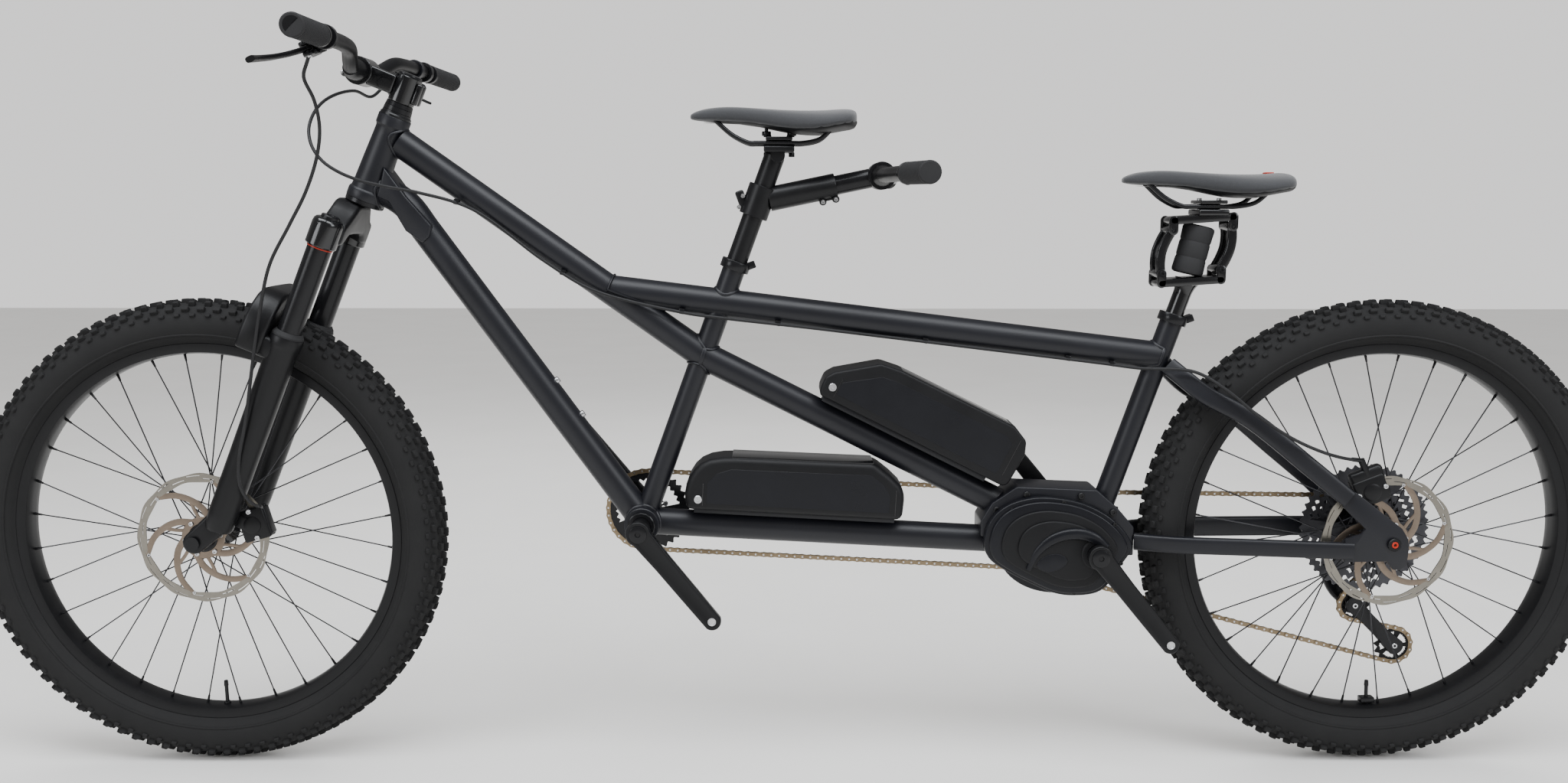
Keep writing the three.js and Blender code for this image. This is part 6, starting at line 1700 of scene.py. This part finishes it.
piece("stoker_bar_tube", stoker_bar, "stoker_bar_assembly", "alloy", ["stoker_bar"])
grip_tip, grip_before = stoker_half[-1], stoker_half[-2]
heading = (grip_tip - grip_before).normalized()
grip_inner = grip_tip + heading * ((212.2 - grip_tip.y) / heading.y)
grip_outer = grip_tip + heading * (0.6 / heading.y)
grip_pair(grip_inner, grip_outer, ("stoker_left_ribbed_grip", "stoker_right_ribbed_grip"),
          ("stoker_left_grip", "stoker_right_grip"), "stoker_bar_assembly")

# %% [markdown]
# ## Rear derailleur
# The derailleur hangs under the dropout. Its arm leads to a knuckle, and the cage turns there with two jockey wheels.

# %% Derailleur
hanger = at(919, 0, 339)
mount = turned_across([(0, 80.8), (11.4, 80.8), (12, 81.6), (12, 95), (11, 96.4), (5, 96.4), (4.4, 94.4), (0, 94.4)],
                      40, hanger.x, hanger.z)
arm = sweep([(919, 89.6, 335), (900, 89.6, 322), (885, 88.6, 305), (884, 82.6, 269), (894, 74, 248),
             (906, 69.6, 238)],
            15, 24, sides=28, square=0.6, step=6, taper=lambda t: 1.0 - 0.12 * t)
outer_link = sweep([(915, 94.4, 332), (893, 94.4, 312), (886, 92, 290), (886, 86, 268), (896, 78, 250)], 4, 11,
                   sides=18,
                   square=0.6, step=6)
knuckle = turned_across([(0, 51), (14, 51), (16.6, 52.6), (17, 56), (17, 73), (15.6, 77), (10, 78.6), (0, 78.6)], 44,
                        upper_jockey.x, upper_jockey.y)
piece("derailleur_arm_and_knuckle", joined(mount, arm, knuckle), "derailleur_body", "plastic_satin",
      ["derailleur_body"])
piece("derailleur_outer_link", outer_link, "derailleur_body", "alloy_sheen")
link_pins = [(at(x, y, z), at(0, 1, 0)) for x, y, z in ((903, 96, 322), (888, 88.6, 266), (910, 78.4, 235))]
piece("derailleur_pins", bolts(link_pins, 3.8, 1.8), "derailleur_body", "bright")


def cage_plate(side):
    a, b = [at(p.x, 0, p.y) for p in (upper_jockey, lower_jockey)]
    low, high = sorted((44.5 + side * 4.2, 44.5 + side * 6.2))
    way = math.degrees(math.atan2(b.z - a.z, b.x - a.x))
    waist = [a.lerp(b, t) + lean(way - 90) * 10.5 for t in (0.32, 0.5, 0.68)]
    waist_back = [a.lerp(b, t) + lean(way + 90) * 10.5 for t in (0.68, 0.5, 0.32)]
    ends = [a + lean(way + t) * 14.8 for t in range(110, 251, 14)] + waist
    ends += [b + lean(way + t) * 14.8 for t in range(-70, 71, 14)] + waist_back
    return plate([(p.x, p.z) for p in ends], low, high, 0.6, 1)


cage = joined(cage_plate(-1), cage_plate(1), *[rod(at(x, 38, z), at(x, 51, z), 4, sides=20) for x,
                                               z in (upper_jockey, lower_jockey)])
piece("derailleur_cage_plates", cage, "derailleur_cage", "alloy_sheen", ["derailleur_cage"])
cage_pins = [(at(978, 50.7, 168), at(0, 1, 0)), (at(978, 38.3, 168), at(0, -1, 0)),
             (at(910, 38.3, 235), at(0, -1, 0))]
piece("derailleur_cage_bolts", bolts(cage_pins, 4.4, 1.8), "derailleur_cage", "bright")
for name, center, teeth, radius in (("upper", upper_jockey, 12, 24.53), ("lower", lower_jockey, 14, 28.54)):
    phase = phase_for(drive_spots, center, radius, teeth)
    disc = toothed(teeth, radius, 43.4, 45.6, 10, 5, (13.4, radius - 6.2), phase)
    hub_ring = placed(turned([(4.5, 41), (9.6, 41), (10.4, 42), (10.4, 47), (9.6, 48), (4.5, 48)], 32, closed=True),
                      ACROSS)
    piece(name + "_jockey_wheel", joined(disc, hub_ring), name + "_jockey", "plastic", [name + "_jockey"],
          Matrix.Translation((center.x, 0, center.y)))

# %% [markdown]
# ## Hoses
# Two hydraulic hoses run from the levers to the calipers. They are smooth tubes with a metal sleeve at each end.

# %% Hoses
front_points = [(-655, -196, 1086), (-664, -190, 1068), (-672, -182, 1050), (-665, -165, 1020), (-665, -148, 985),
                (-676, -132, 945), (-700, -116, 895),
                (-730, -104, 848), (-764, -98, 790), (-782, -96, 725), (-797, -95, 650), (-814, -94, 555),
                (-826, -95, 500), (-827, -94, 462), (-819, -87, 438), (-813, -73, 426), (-812, -58, 420)]
main_side = at(main_way.z, 0, -main_way.x)
top_side = at(top_way.z, 0, -top_way.x)


def beside(start, way, side_way, distance, drop, y):
    spot = start + way * distance + side_way * drop
    return at(spot.x, y, spot.z)


under_main = [beside(main_head, main_way, main_side, d, drop, y) for d, drop, y in ((168, 17, -25), (300, 19, -22),
                                                                                    (384, 12, -26))]
under_top = [beside(top_front, top_way, top_side, d, drop, y) for d, drop, y in (
    (-55, 20, -24), (0, 21, -25), (150, 20, -21), (400, 20, -21), (590, 20, -23), (645, 20, -29))]
rear_points = [(-655, 200, 1088), (-662, 160, 1066), (-672, 120, 1046), (-684, 80, 1052), (-700, 40, 1044),
               (-712, 5, 1028), (-717, -25, 1006), (-715, -48, 983),
               (-706, -62, 960), (-690, -69, 940), (-668, -71, 925), (-640, -68, 913), (-600, -58, 903),
               (-560, -44, 895),
               *under_main, *under_top, (605, -50, 628), (650, -68, 602), (700, -79, 561), (745, -87, 532),
               (790, -87, 512), (830, -76, 500), (862, -62, 494)]
for name, points, body in (("front_hose", front_points, "lower_fork"), ("rear_hose", rear_points, "frame")):
    points = [Vector(p) for p in points]
    piece("brake_" + name, sweep(points, 5, sides=14, step=6, side=(0.3, 0.9, 0.2)), body, "hose", [name], crease=60)
    sleeves = [rod(points[i], points[i].lerp(points[j], 0.6), 3.6, 3.1, sides=20, bevel=0.5) for i,
               j in ((0, 1), (-1, -2))]
    piece(name + "_end_sleeves", joined(*sleeves), body, "alloy_sheen")
hose_line = curve_through([Vector(p) for p in rear_points[13:-7]], 4)
clip_at = [min(hose_line, key=lambda p: abs(p.x - x)) for x in (-506, -350, -172, -24, 199, 419, 487)]
clips = [block(p + at(0, 3, 1.5), (9, 10, 8.6), -12, 1.6, 2) for p in clip_at]
piece("hose_clips", joined(*clips), "frame", "alloy_sheen")

# %% [markdown]
# ## Floor
# The floor is part of the studio and not of the bicycle.

# %% Floor
sheet = bmesh.new()
bmesh.ops.create_grid(sheet, x_segments=1, y_segments=1, size=1)
bmesh.ops.scale(sheet, vec=(9, 9, 1), verts=sheet.verts)
floor_mesh = bpy.data.meshes.new("studio_floor")
sheet.to_mesh(floor_mesh)
sheet.free()
floor_finish = Finish("pale_floor", 0.75)
floor_finish.colour(floor_finish.noise(3, 4), (0.60, 0.595, 0.58), (0.66, 0.655, 0.64))
floor_mesh.materials.append(floor_finish.material)
floor = bpy.data.objects.new("studio_floor", floor_mesh)
bpy.context.scene.collection.objects.link(floor)
